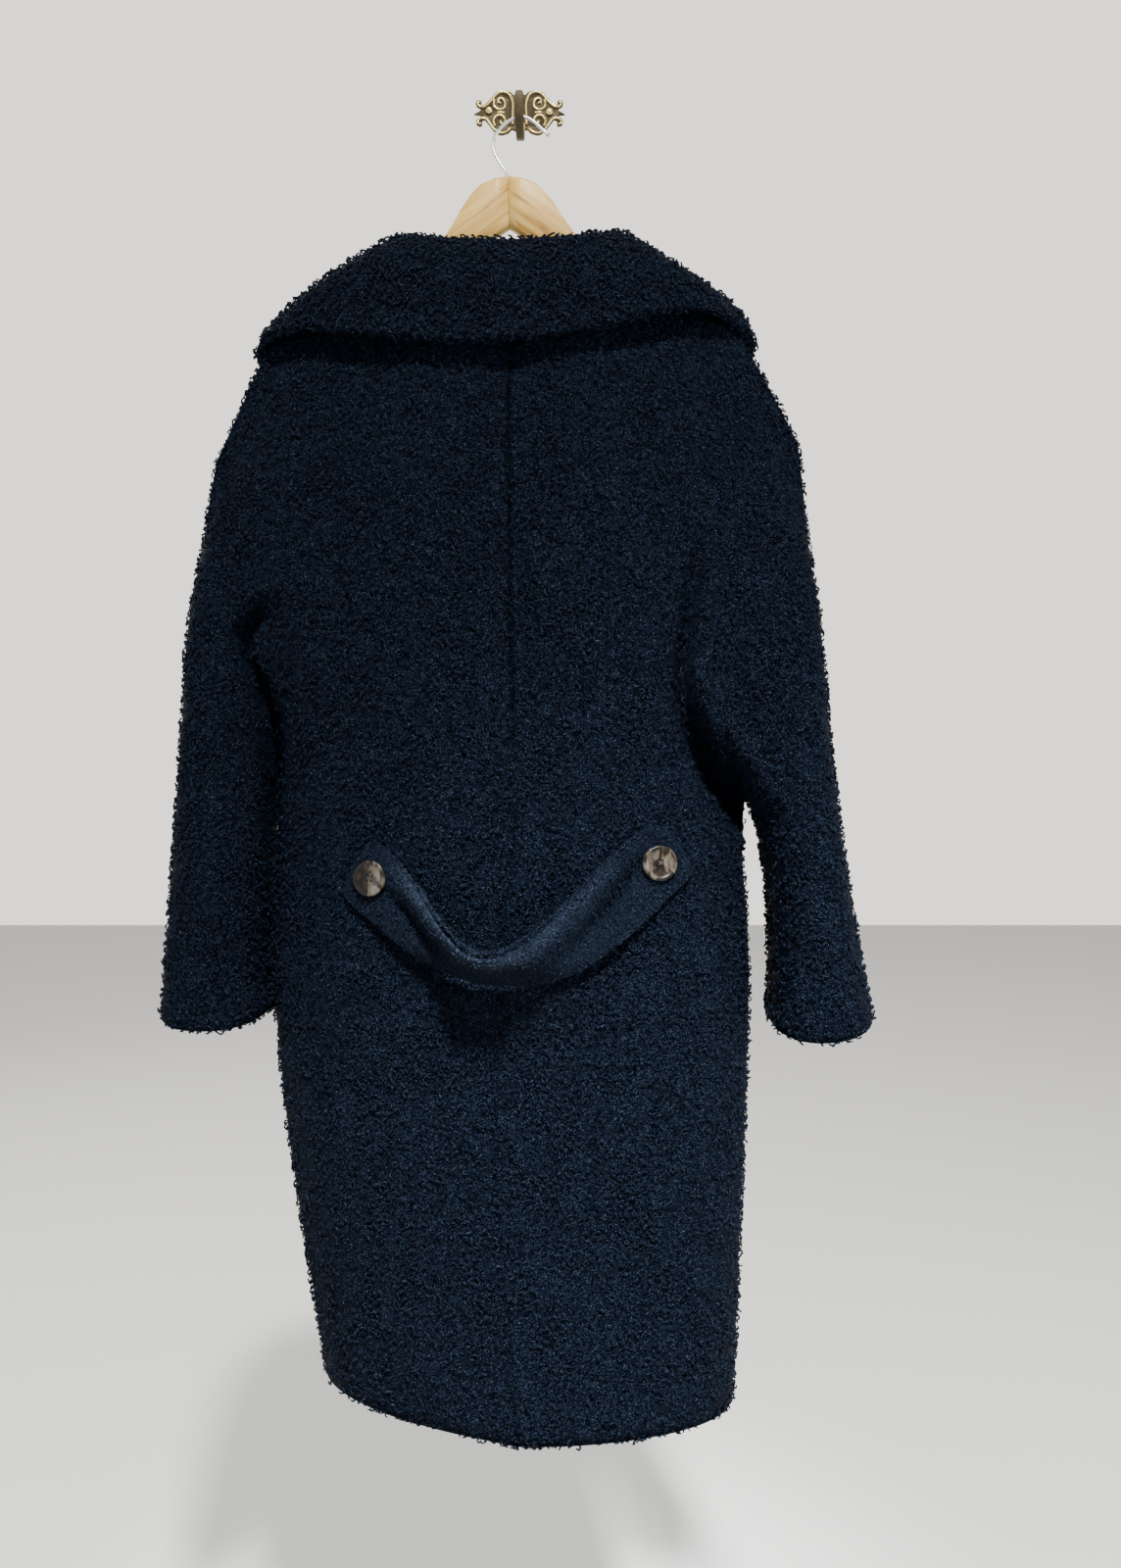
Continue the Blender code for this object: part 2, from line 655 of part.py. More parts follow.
Station = namedtuple("Station", "place stand rise lean edge_x edge_y edge_z lift")
COLLAR_STATIONS = [             # place 0 is the centre back, 1 the side of the neck, 2 the front end
    Station(-2.00, 4, 0.2, 5, -166, -11, -260, 1), Station(-1.50, 7, 0.6, 20, -204, -20, -249, 2),
    Station(-1.00, 14, 1.3, 32, -233, -57, -241, 17), Station(-0.75, 17, 1.0, 34, -214, -99, -235, 14),
    Station(-0.50, 20, 0.8, 34, -160, -133, -243, 8), Station(-0.25, 25, 0.5, 32, -88, -150, -256, 4),
    Station(0.00, 27, 0.3, 32, -5, -156, -258, 4), Station(0.25, 25, 0.5, 32, 74, -149, -244, 4),
    Station(0.50, 20, 0.8, 34, 125, -133, -228, 8), Station(0.75, 14, 1.0, 32, 181, -100, -217, 12),
    Station(1.00, 10, 1.3, 28, 208, -57, -233, 16), Station(1.50, 6, 0.6, 20, 184, -20, -243, 2),
    Station(2.00, 4, 0.2, 5, 144, -11, -252, 1)]
COLLAR_MARKS = [0, 0.1, 0.2, 0.3, 0.41, 0.52, 0.62, 0.71, 0.79, 0.86, 0.92, 0.97, 1.0,
                1.04, 1.1, 1.18, 1.28, 1.4, 1.54, 1.7, 1.86, 2]
ROLL_ROWS, FALL_ROWS = 5, 7
ROLL = 2.5 * MM                 # inner radius of the collar's fold
FOOT_GAP = 1.0 * MM             # between the collar's foot and the neckline
GORGE_ROWS = 4                  # rows of the front's edge, down from the shoulder, that the collar covers
COLLAR_CLEAR = 1.3 * MM


def neckline(side):
    """Half of the neckline, from the collar's front end to the centre back: points, outward and upward ways."""
    back, front = backs[side], fronts[side]
    front_rows = slice(-1 - GORGE_ROWS, -1)
    neck_columns = slice(BACK_NECK_COLUMNS, None, -1)
    places = np.concatenate([front.grid[front_rows, FIRST], back.grid[TOP, neck_columns]])
    normals = np.concatenate([front.normals[front_rows, FIRST], back.normals[TOP, neck_columns]])
    inner = np.concatenate([front.grid[front_rows, 1], back.grid[-2, neck_columns]])
    marks = np.concatenate([np.linspace(2, 1, GORGE_ROWS + 1)[:-1], np.linspace(1, 0, BACK_NECK_COLUMNS + 1)])
    run = np.gradient(places, axis=0)
    upward = unit(np.cross(run, normals))
    facing = np.sum(upward * (places - inner), axis=1, keepdims=True)
    upward = np.where(facing < 0, -upward, upward)
    return [np.array(part) for part in (places, normals, upward, marks[:, None] * side)]


def collar_profile(station, foot, place, outward, upward):
    """One section of the collar's exposed face, from the neckline over the fold to its outer edge."""
    radius = ROLL + COLLAR_CLOTH
    start = place - CLOTH * outward
    points = [foot - CLOTH * outward + FOOT_GAP * upward]
    centre = start + upward * station.stand * MM + outward * radius
    turned = math.pi - math.radians(station.lean)
    for step in range(ROLL_ROWS + 1):
        angle = turned * step / ROLL_ROWS
        points.append(centre - outward * radius * math.cos(angle) + upward * radius * math.sin(angle))
    edge = np.array([station.edge_x, station.edge_y, station.edge_z]) * MM
    way = outward * math.sin(math.radians(station.lean)) - upward * math.cos(math.radians(station.lean))
    first = points[-1]
    second = first + way * np.linalg.norm(edge - first) * 0.33
    third = first + (edge - first) * 0.78 + outward * station.lift * MM
    for step in range(1, FALL_ROWS + 1):
        t = step / FALL_ROWS
        points.append((1 - t) ** 3 * first + 3 * t * (1 - t) ** 2 * second
                      + 3 * t * t * (1 - t) * third + t ** 3 * edge)
    return np.array(points)


def collar_grid():
    """The collar's exposed face, one row for each place of its section and one column for each station."""
    left, right = neckline(LEFT), neckline(RIGHT)
    whole = [np.concatenate([a[:-1], b[::-1]]) for a, b in zip(left, right)]
    places, normals, upward, marks = whole
    middle = len(left[0]) - 1
    for ways in (normals, upward):
        ways[middle] = unit(np.array([0.0, ways[middle][1], ways[middle][2]]))
    for _ in range(2):
        for ways in (normals, upward):
            ways[1:-1] = (ways[:-2] + 2 * ways[1:-1] + ways[2:]) / 4
    steps = [-mark for mark in COLLAR_MARKS[:0:-1]] + COLLAR_MARKS
    feet = np.array([np.interp(steps, marks[:, 0], values) for values in places.T]).T
    places, normals, upward = [hermite(marks[:, 0], values, steps) for values in (places, normals, upward)]
    table = as_rows(COLLAR_STATIONS)
    columns = []
    for foot, place, outward, up, mark in zip(feet, places, normals, upward, steps):
        station = Station(*hermite(table[:, 0], table, [mark])[0])
        up = unit(up + np.array([0.0, 0.0, station.rise]))
        outward = unit(outward - up * (outward @ up))
        columns.append(collar_profile(station, foot, place, outward, up))
    return np.array(columns).transpose(1, 0, 2)


def way_out(tree, point):
    """The distance from some faces, less than 0 inside them, and the way out from there."""
    place, normal, _, distance = tree.find_nearest(point)
    near = tree.find_nearest_range(point, distance + SEAM_GAP)
    outward = sum((found[1] for found in near), Vector()).normalized() if near else normal
    return (distance if (point - place).dot(outward) > 0 else -distance), outward


def lift_clear(panel, tree, clearance, first_row):
    """Moves a piece outwards until its inner face, between its points too, lies clear of what it covers."""
    shares = (0.0, 0.33, 0.67, 1.0)
    most = 2.5 * MM
    for _ in range(8):
        under = panel.grid + panel.inward
        push = np.zeros_like(under)
        for row in range(first_row, len(under) - 1):
            for column in range(under.shape[1] - 1):
                corners = [(row, column), (row, column + 1), (row + 1, column), (row + 1, column + 1)]
                for v in shares:
                    for u in shares:
                        parts = ((1 - v) * (1 - u), (1 - v) * u, v * (1 - u), v * u)
                        point = Vector(sum(part * under[corner] for part, corner in zip(parts, corners)))
                        distance, outward = way_out(tree, point)
                        short = min(clearance - distance, most)
                        for part, corner in zip(parts, corners):
                            if short > np.linalg.norm(push[corner]) and part > 0.2:
                                push[corner] = np.array(outward) * short
        panel.grid += push


collar = Panel(collar_grid(), COLLAR_CLOTH, flip=True)
lift_clear(collar, body_face, COLLAR_CLEAR, 3)


NAMES = ((LEFT, "left"), (RIGHT, "right"))
for side, name in NAMES:
    add_cloth("back_" + name, backs[side])
    add_cloth("front_" + name, fronts[side])
    add_cloth("sleeve_" + name, sleeves[side])
    add_cloth("lapel_" + name, lapels[side])
add_cloth("collar", collar)

# Half belt: two layers of cloth, buttoned flat at both ends, sagging and standing off the back between them

# (millimetres; how far each edge stands off the back and how deep the fold between the edges is)
BeltStation = namedtuple("BeltStation", "upper_x upper_z upper_off lower_x lower_z lower_off fold")
BELT_STATIONS = in_mm([
    BeltStation(-118.5, -658.6, 0, -146.1, -709.3, 0, 0), BeltStation(-100.7, -677.4, 7, -126.3, -724.4, 0, 0),
    BeltStation(-79.9, -700.2, 30, -105.7, -739.8, 3, 5), BeltStation(-64.4, -720.1, 48, -82.0, -756.1, 9, 6),
    BeltStation(-47.6, -738.0, 64, -58.1, -766.7, 16, 4), BeltStation(-26.8, -750.2, 71, -31.8, -775.4, 21, 1),
    BeltStation(-6.2, -748.1, 70, -2.3, -778.0, 23, 0), BeltStation(14.2, -737.5, 62, 28.7, -775.5, 21, 2),
    BeltStation(31.9, -725.4, 46, 56.8, -767.1, 15, 5), BeltStation(51.9, -706.7, 30, 83.2, -749.6, 8, 7),
    BeltStation(73.8, -684.3, 9, 106.0, -732.2, 3, 4), BeltStation(97.5, -660.4, 0, 130.0, -710.0, 0, 0),
    BeltStation(120.5, -649.1, 0, 153.9, -690.6, 0, 0)])
BELT_ACROSS = [0.0, 0.1, 0.3, 0.5, 0.7, 0.9, 1.0]
BELT_COLUMNS = 26
BELT_CORNER = 0.022             # how far the corners draw in along the belt
BELT_THICK = 2 * BELT_CLOTH + SEAM_GAP
BELT_CLEAR = 0.5 * MM


def belt_edge(x, z, off):
    """A point of the belt's outer face that stands so far off the back."""
    return (x, back_depth(x, z) - BELT_THICK - BELT_CLEAR - off, z)


def belt_grid():
    """The belt's outer face, from its lower edge to its upper edge and from left to right."""
    lower = np.array([belt_edge(s.lower_x, s.lower_z, s.lower_off) for s in BELT_STATIONS])
    upper = np.array([belt_edge(s.upper_x, s.upper_z, s.upper_off) for s in BELT_STATIONS])
    folds = np.array([s.fold for s in BELT_STATIONS])
    knots = along((lower + upper) / 2)
    run = np.gradient((lower + upper) / 2, axis=0)
    outward = unit(np.cross(run, upper - lower))
    rows = []
    for share in BELT_ACROSS:
        bend = np.sin(math.pi * share) ** 2 * folds
        line = lower + (upper - lower) * share - outward * bend[:, None]
        corner = BELT_CORNER * abs(2 * share - 1) ** 6
        rows.append(hermite(knots, line, corner + (1 - 2 * corner) * even(BELT_COLUMNS)))
    return np.array(rows)


belt = Panel(belt_grid(), BELT_THICK)
lift_clear(belt, back_face, BELT_CLEAR, 0)
belt = Panel(belt.grid, BELT_CLOTH)
belt_lining = Panel(belt.grid - belt.normals * (BELT_CLOTH + SEAM_GAP), BELT_CLOTH)
belt_lining.inward = -belt.normals * BELT_CLOTH
add_cloth("belt_outer", belt)
add_cloth("belt_inner", belt_lining)

# Turned and lofted solids

def loft(name, loops, finish, smooth=True):
    """A closed solid through a row of closed loops of points."""
    count = len(loops[0])
    points = [tuple(p) for loop in loops for p in loop]
    faces = [list(range(count)), list(range(len(points) - count, len(points)))]
    for first in range(0, len(points) - count, count):
        for i in range(count):
            j = (i + 1) % count
            faces.append([first + i, first + j, first + count + j, first + count + i])
    mesh = bpy.data.meshes.new(name)
    mesh.from_pydata(points, [], faces)
    mesh.update()
    turn_outwards(mesh)
    return add_object(name, mesh, finish, smooth)


def frame_of(axis):
    """Two directions square to an axis."""
    axis = Vector(axis).normalized()
    helper = Vector((0, 0, 1)) if abs(axis.z) < 0.9 else Vector((1, 0, 0))
    first = axis.cross(helper).normalized()
    return np.array(first), np.array(axis.cross(first).normalized())


def ring_loop(centre, first, second, radius, sides):
    """A circle of points."""
    turns = [2 * math.pi * i / sides for i in range(sides)]
    return [np.array(centre) + (first * math.cos(t) + second * math.sin(t)) * radius for t in turns]


def turned(name, centre, axis, profile, sides, finish):
    """A solid turned about an axis, from pairs of radius and height."""
    first, second = frame_of(axis)
    way = unit(np.array(axis))
    loops = [ring_loop(np.array(centre) + way * height, first, second, radius, sides) for radius, height in profile]
    return loft(name, loops, finish)


def tube(name, points, radii, sides, finish):
    """A round bar along a line of points."""
    points = np.array(points)
    ways = unit(np.gradient(points, axis=0))
    first, _ = frame_of(ways[0])
    loops = []
    for point, way, radius in zip(points, ways, radii):
        first = unit(first - way * (first @ way))
        loops.append(ring_loop(point, first, np.cross(way, first), radius, sides))
    return loft(name, loops, finish)


def cut(piece, tool, way="DIFFERENCE"):
    """Cuts a tool out of a solid, or joins it to the solid, and hides the tool."""
    change = piece.modifiers.new(tool.name, "BOOLEAN")
    change.operation = way
    change.solver = "EXACT"
    change.object = tool
    tool.hide_render = True
    tool.display_type = "WIRE"


# Buttons

BUTTON = 29.5 * MM
BUTTON_GAP = 0.4 * MM
BUTTON_PROFILE = [(11.0, 0), (13.6, 0.7), (14.75, 2.0), (14.5, 3.4), (13.4, 4.2), (12.1, 4.0), (10.9, 3.2), (9.5, 2.9)]
BUTTON_PLACES = {LEFT: (-0.1172, -0.6955), RIGHT: (0.1192, -0.6835)}
HOLE, HOLE_OUT = 1.25 * MM, 2.6 * MM
belt_face = face_tree([(belt.grid, False)])


def button_seat(x, z):
    """The middle of a button's back and its axis, clear of the belt under the whole button."""
    middle, axis, _, _ = belt_face.ray_cast(Vector((x, -1.0, z)), Vector((0, 1, 0)))
    first, second = frame_of(axis)
    found = []
    for radius in (0.35, 0.7, 0.9):
        for place in ring_loop(np.array(middle) + np.array(axis) * 0.05, first, second, radius * BUTTON / 2, 12):
            hit, normal, _, _ = belt_face.ray_cast(Vector(place), -axis)
            if hit:
                found.append((hit, normal))
    axis = sum((normal for _, normal in found), Vector()).normalized()
    highest = max((hit - middle).dot(axis) for hit, _ in found)
    return middle + axis * (max(highest, 0.0) + BUTTON_GAP), axis


for side, name in NAMES:
    seat, axis = button_seat(*BUTTON_PLACES[side])
    profile = [(radius * MM, height * MM) for radius, height in BUTTON_PROFILE]
    button = turned("button_" + name, seat, axis, profile, 22, HORN)
    first, second = frame_of(axis)
    for number in range(4):
        turn = math.pi / 4 + number * math.pi / 2
        place = np.array(seat) + (first * math.cos(turn) + second * math.sin(turn)) * HOLE_OUT
        hole = turned("hole_%s_%d" % (name, number + 1), place, axis, [(HOLE, -1 * MM), (HOLE, 6 * MM)], 7, HORN)
        cut(button, hole)

# Hanger: two shaped wooden halves, joined in the middle, with the wire's hole in the joint

JOINT_GAP = SEAM_GAP / 2
HANGER_CORNER = 4.0 * MM
ARM_EASE = 2.6 * MM             # how far the arms' outer ends lie below the line the cloth hangs along
TipSection = namedtuple("TipSection", "out upper lower thick")
HANGER_TIP = in_mm([TipSection(186, 125, 134.5, 10), TipSection(188, 127, 132, 6.5)])
BORE, BORE_DEPTH = 1.8 * MM, 25 * MM
ARM_PLACES = in_mm([HangerEdge(out, 0) for out in (0, 12, 24, 33, 41, 49, 57, 67, 80, 97, 116, 140, 162, 180)])


def arm_section(side, out, upper, lower, thick, corner):
    """A rounded section of an arm, as a loop of points."""
    corner = min(corner, (lower - upper) * 0.45, thick * 0.45)
    loop = []
    for across, down, start in ((1, 1, 0), (-1, 1, 90), (-1, -1, 180), (1, -1, 270)):
        middle = ((thick / 2 - corner) * across, (lower - corner) if down > 0 else (upper + corner))
        for turn in (0, 45, 90):
            angle = math.radians(start + turn)
            loop.append(in_hanger(side, out, middle[1] + corner * math.sin(angle),
                                  middle[0] + corner * math.cos(angle)))
    return loop


lower_edge = as_rows(HANGER_LOWER[::-1])
for side, name in NAMES:
    sections = []
    for place in ARM_PLACES:
        lower = float(hermite(lower_edge[:, 0], lower_edge[:, 1:2], [place.out])[0, 0])
        upper = hanger_drop(place.out) + ARM_EASE * max(place.out / NECK_OUT - 0.8, 0.0)
        out = max(place.out, JOINT_GAP)
        sections.append(arm_section(side, out, upper, lower, HANGER_THICK, HANGER_CORNER))
    for tip in HANGER_TIP:
        sections.append(arm_section(side, tip.out, tip.upper, tip.lower, tip.thick, HANGER_CORNER))
    arm = loft("hanger_%s_arm" % name, sections, BEECH)
    bore = [(BORE, 0.0), (BORE, BORE_DEPTH + 3 * MM)]
    way = in_hanger(side, 0, -1) - in_hanger(side, 0, 0)
    cut(arm, turned("bore_" + name, in_hanger(side, 0, BORE_DEPTH), way, bore, 12, BEECH))

HookPoint = namedtuple("HookPoint", "x y z radius")
WIRE_PATH = in_mm([
    HookPoint(-8.0, -55, -109.0, 1.5), HookPoint(-8.3, -55, -96, 1.5), HookPoint(-8.6, -55, -85, 1.5),
    HookPoint(-11.2, -55, -79.5, 1.5), HookPoint(-15.8, -54, -73.0, 1.5), HookPoint(-20.4, -52, -64.6, 1.5),
    HookPoint(-22.4, -51, -58.0, 1.5), HookPoint(-22.0, -50, -51.0, 1.5), HookPoint(-19.4, -50, -45.0, 1.5),
    HookPoint(-14.0, -50, -38.6, 1.5), HookPoint(-8.0, -50, -34.0, 1.5), HookPoint(-2.0, -50, -31.0, 1.5),
    HookPoint(4.5, -50, -30.1, 1.5), HookPoint(10.5, -50, -32.0, 1.5), HookPoint(16.3, -50, -36.2, 1.5),
    HookPoint(21.5, -50, -41.2, 1.5), HookPoint(25.0, -50, -44.2, 1.5), HookPoint(26.0, -50, -45.1, 2.2),
    HookPoint(27.2, -50, -46.2, 2.3), HookPoint(28.3, -50, -47.2, 1.4)])
wire = as_rows(WIRE_PATH)
tube("hanger_hook", wire[:, :3], wire[:, 3], 10, STEEL)

# Wall hook: a cast brass plate of scrolls, an upturned prong and two slotted screws

PLATE_THICK = 2.0 * MM
RIDGE_WIDTH, RIDGE_CREST, RIDGE_HEIGHT, RIDGE_SINK = 2.2 * MM, 1.0 * MM, 1.5 * MM, 0.4 * MM

# (millimetres across and up from the plate's middle, for the right wing)
PLATE_OUTLINE = [
    (3.2, 16.4), (3.4, 13.5), (5.3, 12.6), (7.5, 14.8), (11.6, 16.6), (16.6, 16.9), (21.0, 15.4), (24.0, 12.6),
    (29.2, 6.6), (33.0, 3.4), (35.6, 4.0), (35.0, 6.6), (36.6, 8.2), (39.4, 7.6), (40.6, 5.6), (39.6, 2.2),
    (36.6, 0.4), (35.8, -1.2), (42.3, -5.0), (37.0, -5.6), (35.0, -6.9), (38.5, -7.7), (40.1, -10.6),
    (39.8, -14.2), (37.2, -15.6), (34.6, -14.9), (34.8, -12.8), (34.2, -10.2), (32.0, -9.7), (27.8, -14.9),
    (23.8, -20.0), (19.0, -23.2), (15.2, -23.3), (10.2, -21.6), (7.0, -18.4), (3.0, -20.2)]
RIDGES = {
    "arch": [(6.4, -14.0), (6.4, -6.4), (6.4, 6.4), (8.5, 12.2), (12.3, 15.0), (16.4, 15.4), (20.2, 14.0),
             (22.7, 11.8), (28.2, 5.5), (32.7, 2.0), (38.0, 2.6), (38.9, 6.2), (36.6, 6.6)],
    "foot": [(8.2, -17.3), (11.0, -20.3), (15.5, -21.8), (18.2, -21.8), (22.7, -19.1), (26.4, -14.5),
             (30.9, -9.0), (34.5, -8.2), (38.4, -10.0), (38.2, -13.4), (36.2, -14.0)],
    "upper_scroll": [(23.4, 8.6), (23.6, 2.7), (19.1, -0.7), (14.5, 0.9), (13.2, 5.5), (15.5, 9.1), (19.1, 9.4),
                     (19.6, 6.0), (17.4, 5.2)],
    "lower_scroll": [(22.7, -15.5), (24.1, -10.0), (20.9, -6.1), (16.4, -5.9), (13.4, -9.1), (13.6, -12.9),
                     (16.4, -13.8), (18.0, -11.0)],
    "bar": [(14.3, -3.2), (20.6, -3.2)]}
RIDGE_POINTS = {"arch": 18, "foot": 15, "upper_scroll": 14, "lower_scroll": 12, "bar": 1}


def plate_outline(side):
    return [(side * x, z) for x, z in PLATE_OUTLINE]


def ridge(name, line, width, crest):
    """A raised rib along a line of the plate's face."""
    line = np.array(line)
    run = unit(np.gradient(line, axis=0))
    across = np.stack([-run[:, 1], run[:, 0]], axis=1)
    loops = []
    for point, way in zip(line, across):
        loop = []
        for half, depth in ((-width / 2, RIDGE_SINK), (-crest / 2, -RIDGE_HEIGHT),
                            (crest / 2, -RIDGE_HEIGHT), (width / 2, RIDGE_SINK)):
            place = point + way * half
            loop.append((place[0], -PLATE_THICK + depth, place[1]))
        loops.append(loop)
    return loft(name, loops, BRASS)


right_half = plate_outline(RIGHT)
outline = right_half + plate_outline(LEFT)[::-1]
faces_at = [[(x * MM, depth, z * MM) for x, z in outline] for depth in (0.0, -PLATE_THICK)]
plate = loft("wall_plate", faces_at, BRASS, smooth=False)
for side, name in NAMES:
    for part, points in RIDGES.items():
        line = smooth_line([(side * x * MM, 0.0, z * MM) for x, z in points], even(RIDGE_POINTS[part]))[:, [0, 2]]
        cut(plate, ridge("ridge_%s_%s" % (part, name), line, RIDGE_WIDTH, RIDGE_CREST), "UNION")

# (millimetres; the prong's middle line from the plate to its tip, its width and its thickness)
ProngPoint = namedtuple("ProngPoint", "y z width thick")
PRONG_X = 1.5 * MM
PRONG = in_mm([
    ProngPoint(-2.3, -15.5, 7.0, 6.0), ProngPoint(-5.0, -19.0, 7.8, 4.6), ProngPoint(-9.0, -25.5, 7.4, 4.0),
    ProngPoint(-14.5, -32.0, 7.4, 3.6), ProngPoint(-22.0, -36.6, 7.4, 3.5), ProngPoint(-32.0, -38.2, 7.4, 3.5),
    ProngPoint(-42.0, -37.0, 7.4, 3.5), ProngPoint(-50.0, -35.2, 7.4, 3.5), ProngPoint(-56.0, -31.5, 7.4, 3.5),
    ProngPoint(-58.6, -25.5, 7.2, 3.5), ProngPoint(-59.0, -19.0, 6.8, 3.6), ProngPoint(-58.6, -14.5, 7.4, 4.4),
    ProngPoint(-58.0, -12.4, 5.6, 3.4)])


def prong_loops():
    """Bevelled sections of the prong, square to its middle line."""
    line = np.array([(p.y, p.z) for p in PRONG])
    run = unit(np.gradient(line, axis=0))
    run[0] = (-1.0, 0.0)
    loops = []
    for point, way, row in zip(line, run, PRONG):
        bevel = 0.8 * MM
        w, t = row.width / 2, row.thick / 2
        loop = []
        for across, up in ((w, t - bevel), (w - bevel, t), (bevel - w, t), (-w, t - bevel),
                           (-w, bevel - t), (bevel - w, -t), (w - bevel, -t), (w, bevel - t)):
            loop.append((PRONG_X + across, point[0] - way[1] * up, point[1] + way[0] * up))
        loops.append(loop)
    return loops


loft("wall_prong", prong_loops(), BRASS)

SCREW_PROFILE = [(3.2, 0.0), (3.2, 0.7), (2.6, 1.5), (1.4, 2.0)]
SCREW_PLACES = {LEFT: (-28.2, -1.8), RIGHT: (27.6, -3.0)}
SLOT_TURN = {LEFT: 25, RIGHT: 70}
for side, name in NAMES:
    x, z = SCREW_PLACES[side]
    foot = (x * MM, -PLATE_THICK - SEAM_GAP, z * MM)
    profile = [(radius * MM, height * MM) for radius, height in SCREW_PROFILE]
    screw = turned("wall_screw_" + name, foot, (0, -1, 0), profile, 16, BRASS)
    turn = math.radians(SLOT_TURN[side])
    along_slot, over = np.array((math.cos(turn), 0, math.sin(turn))), np.array((-math.sin(turn), 0, math.cos(turn)))
    loops = []
    for end in (-4.5, 4.5):
        corners = [(-0.4, -1.2), (0.4, -1.2), (0.4, -3.0), (-0.4, -3.0)]
        loops.append([np.array(foot) + along_slot * end * MM + over * half * MM + np.array((0, depth, 0)) * MM
                      for half, depth in corners])
    cut(screw, loft("slot_" + name, loops, BRASS, smooth=False))
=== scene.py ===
"""The looks of a long navy boucle coat that hangs, back outwards, on a wooden hanger and a brass wall hook.

Metres, +Z up. The wall is the plane y = 0 and the coat's back faces -Y. Left and right are the wearer's.
"""
import json
import math
from collections import namedtuple

import bmesh
import bpy
from mathutils import Matrix, Vector
from mathutils.bvhtree import BVHTree

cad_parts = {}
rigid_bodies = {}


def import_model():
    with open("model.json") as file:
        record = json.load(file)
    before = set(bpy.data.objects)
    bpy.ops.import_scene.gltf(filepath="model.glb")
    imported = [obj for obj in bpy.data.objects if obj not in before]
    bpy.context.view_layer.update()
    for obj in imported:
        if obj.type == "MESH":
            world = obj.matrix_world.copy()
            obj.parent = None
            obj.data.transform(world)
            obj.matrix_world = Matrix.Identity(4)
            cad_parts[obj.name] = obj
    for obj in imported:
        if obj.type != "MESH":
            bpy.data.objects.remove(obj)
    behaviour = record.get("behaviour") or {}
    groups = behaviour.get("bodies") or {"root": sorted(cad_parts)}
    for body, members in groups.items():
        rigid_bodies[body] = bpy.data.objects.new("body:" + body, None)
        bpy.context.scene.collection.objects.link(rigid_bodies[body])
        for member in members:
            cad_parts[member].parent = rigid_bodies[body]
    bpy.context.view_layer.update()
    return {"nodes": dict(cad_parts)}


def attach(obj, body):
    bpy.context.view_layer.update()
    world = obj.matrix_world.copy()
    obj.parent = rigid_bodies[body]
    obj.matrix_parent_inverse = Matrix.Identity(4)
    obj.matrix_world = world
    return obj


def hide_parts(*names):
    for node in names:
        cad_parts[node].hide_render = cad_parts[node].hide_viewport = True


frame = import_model()
MM = 0.001


# The view: the camera stands a little over a metre from the wall, in front of the half belt, and looks slightly
# down. A small ceiling lamp, a wide lamp at each side, one behind for what the wall throws back and a soft spot
# for the lower half light the coat. A pale floor lies far below the hem.

FLOOR_HEIGHT = -1.75
LOOK_DOWN = 2.76                        # degrees below level
WALL_SIDE = (1.75, 1.67, 1.54, 1)       # the room's light from behind the coat, where the camera looks
ROOM_SIDE = (0.19, 0.20, 0.22, 1)       # and from the rest of the room
ROOM_END, WALL_START = 0.1, 0.65        # how far a direction points to the wall where each of them ends


def shown(name, data):
    """A new object in the scene."""
    made = bpy.data.objects.new(name, data)
    bpy.context.scene.collection.objects.link(made)
    return made


def mesh_of(name, shape):
    """A mesh made of a bmesh, which is freed."""
    mesh = bpy.data.meshes.new(name)
    shape.to_mesh(mesh)
    shape.free()
    return mesh


def node_of(tree, kind, inputs=(), **settings):
    """Adds a node with its settings. Each input is given a plain value or another node's output."""
    made = tree.nodes.new(kind)
    for name, value in settings.items():
        setattr(made, name, value)
    for name, value in dict(inputs).items():
        if isinstance(value, bpy.types.NodeSocket):
            tree.links.new(value, made.inputs[name])
        else:
            made.inputs[name].default_value = value
    return made


def mapped(tree, value, lowest, highest, low=0.0, high=1.0, **settings):
    """A value, taken from one range to another."""
    return node_of(tree, "ShaderNodeMapRange", {"Value": value, "From Min": lowest, "From Max": highest,
                                                "To Min": low, "To Max": high}, **settings).outputs["Result"]


def mixed(tree, factor, first, second, **settings):
    """A blend of two colours."""
    return node_of(tree, "ShaderNodeMix", {"Factor": factor, "A": first, "B": second}, data_type="RGBA",
                   **settings).outputs["Result"]


def new_finish(name, roughness, metallic=0.0, **plain):
    """A material, its Principled shader and its node tree."""
    finish = bpy.data.materials.new(name)
    finish.use_nodes = True
    surface = finish.node_tree.nodes["Principled BSDF"]
    surface.inputs["Roughness"].default_value = roughness
    surface.inputs["Metallic"].default_value = metallic
    for socket, value in plain.items():
        surface.inputs[socket.replace("_", " ")].default_value = value
    return finish, surface, finish.node_tree


def hang_light(light, place, target):
    """Puts a light at a place so that it faces its target."""
    lit = shown(light.name, light)
    lit.location = place
    lit.rotation_euler = (Vector(target) - Vector(place)).to_track_quat("-Z", "Y").to_euler()


def lamp(name, place, target, width, power, colour):
    """A soft square lamp that faces its target."""
    light = bpy.data.lights.new(name, "AREA")
    light.size = width
    light.energy = power
    light.color = colour
    hang_light(light, place, target)


camera = shown("camera", bpy.data.cameras.new("camera"))
camera.data.lens = 28
camera.data.sensor_fit = "VERTICAL"
camera.data.sensor_height = 36
camera.location = (0.038, -1.16, -0.570)
camera.rotation_euler = (math.radians(90 - LOOK_DOWN), 0, 0)
bpy.context.scene.camera = camera

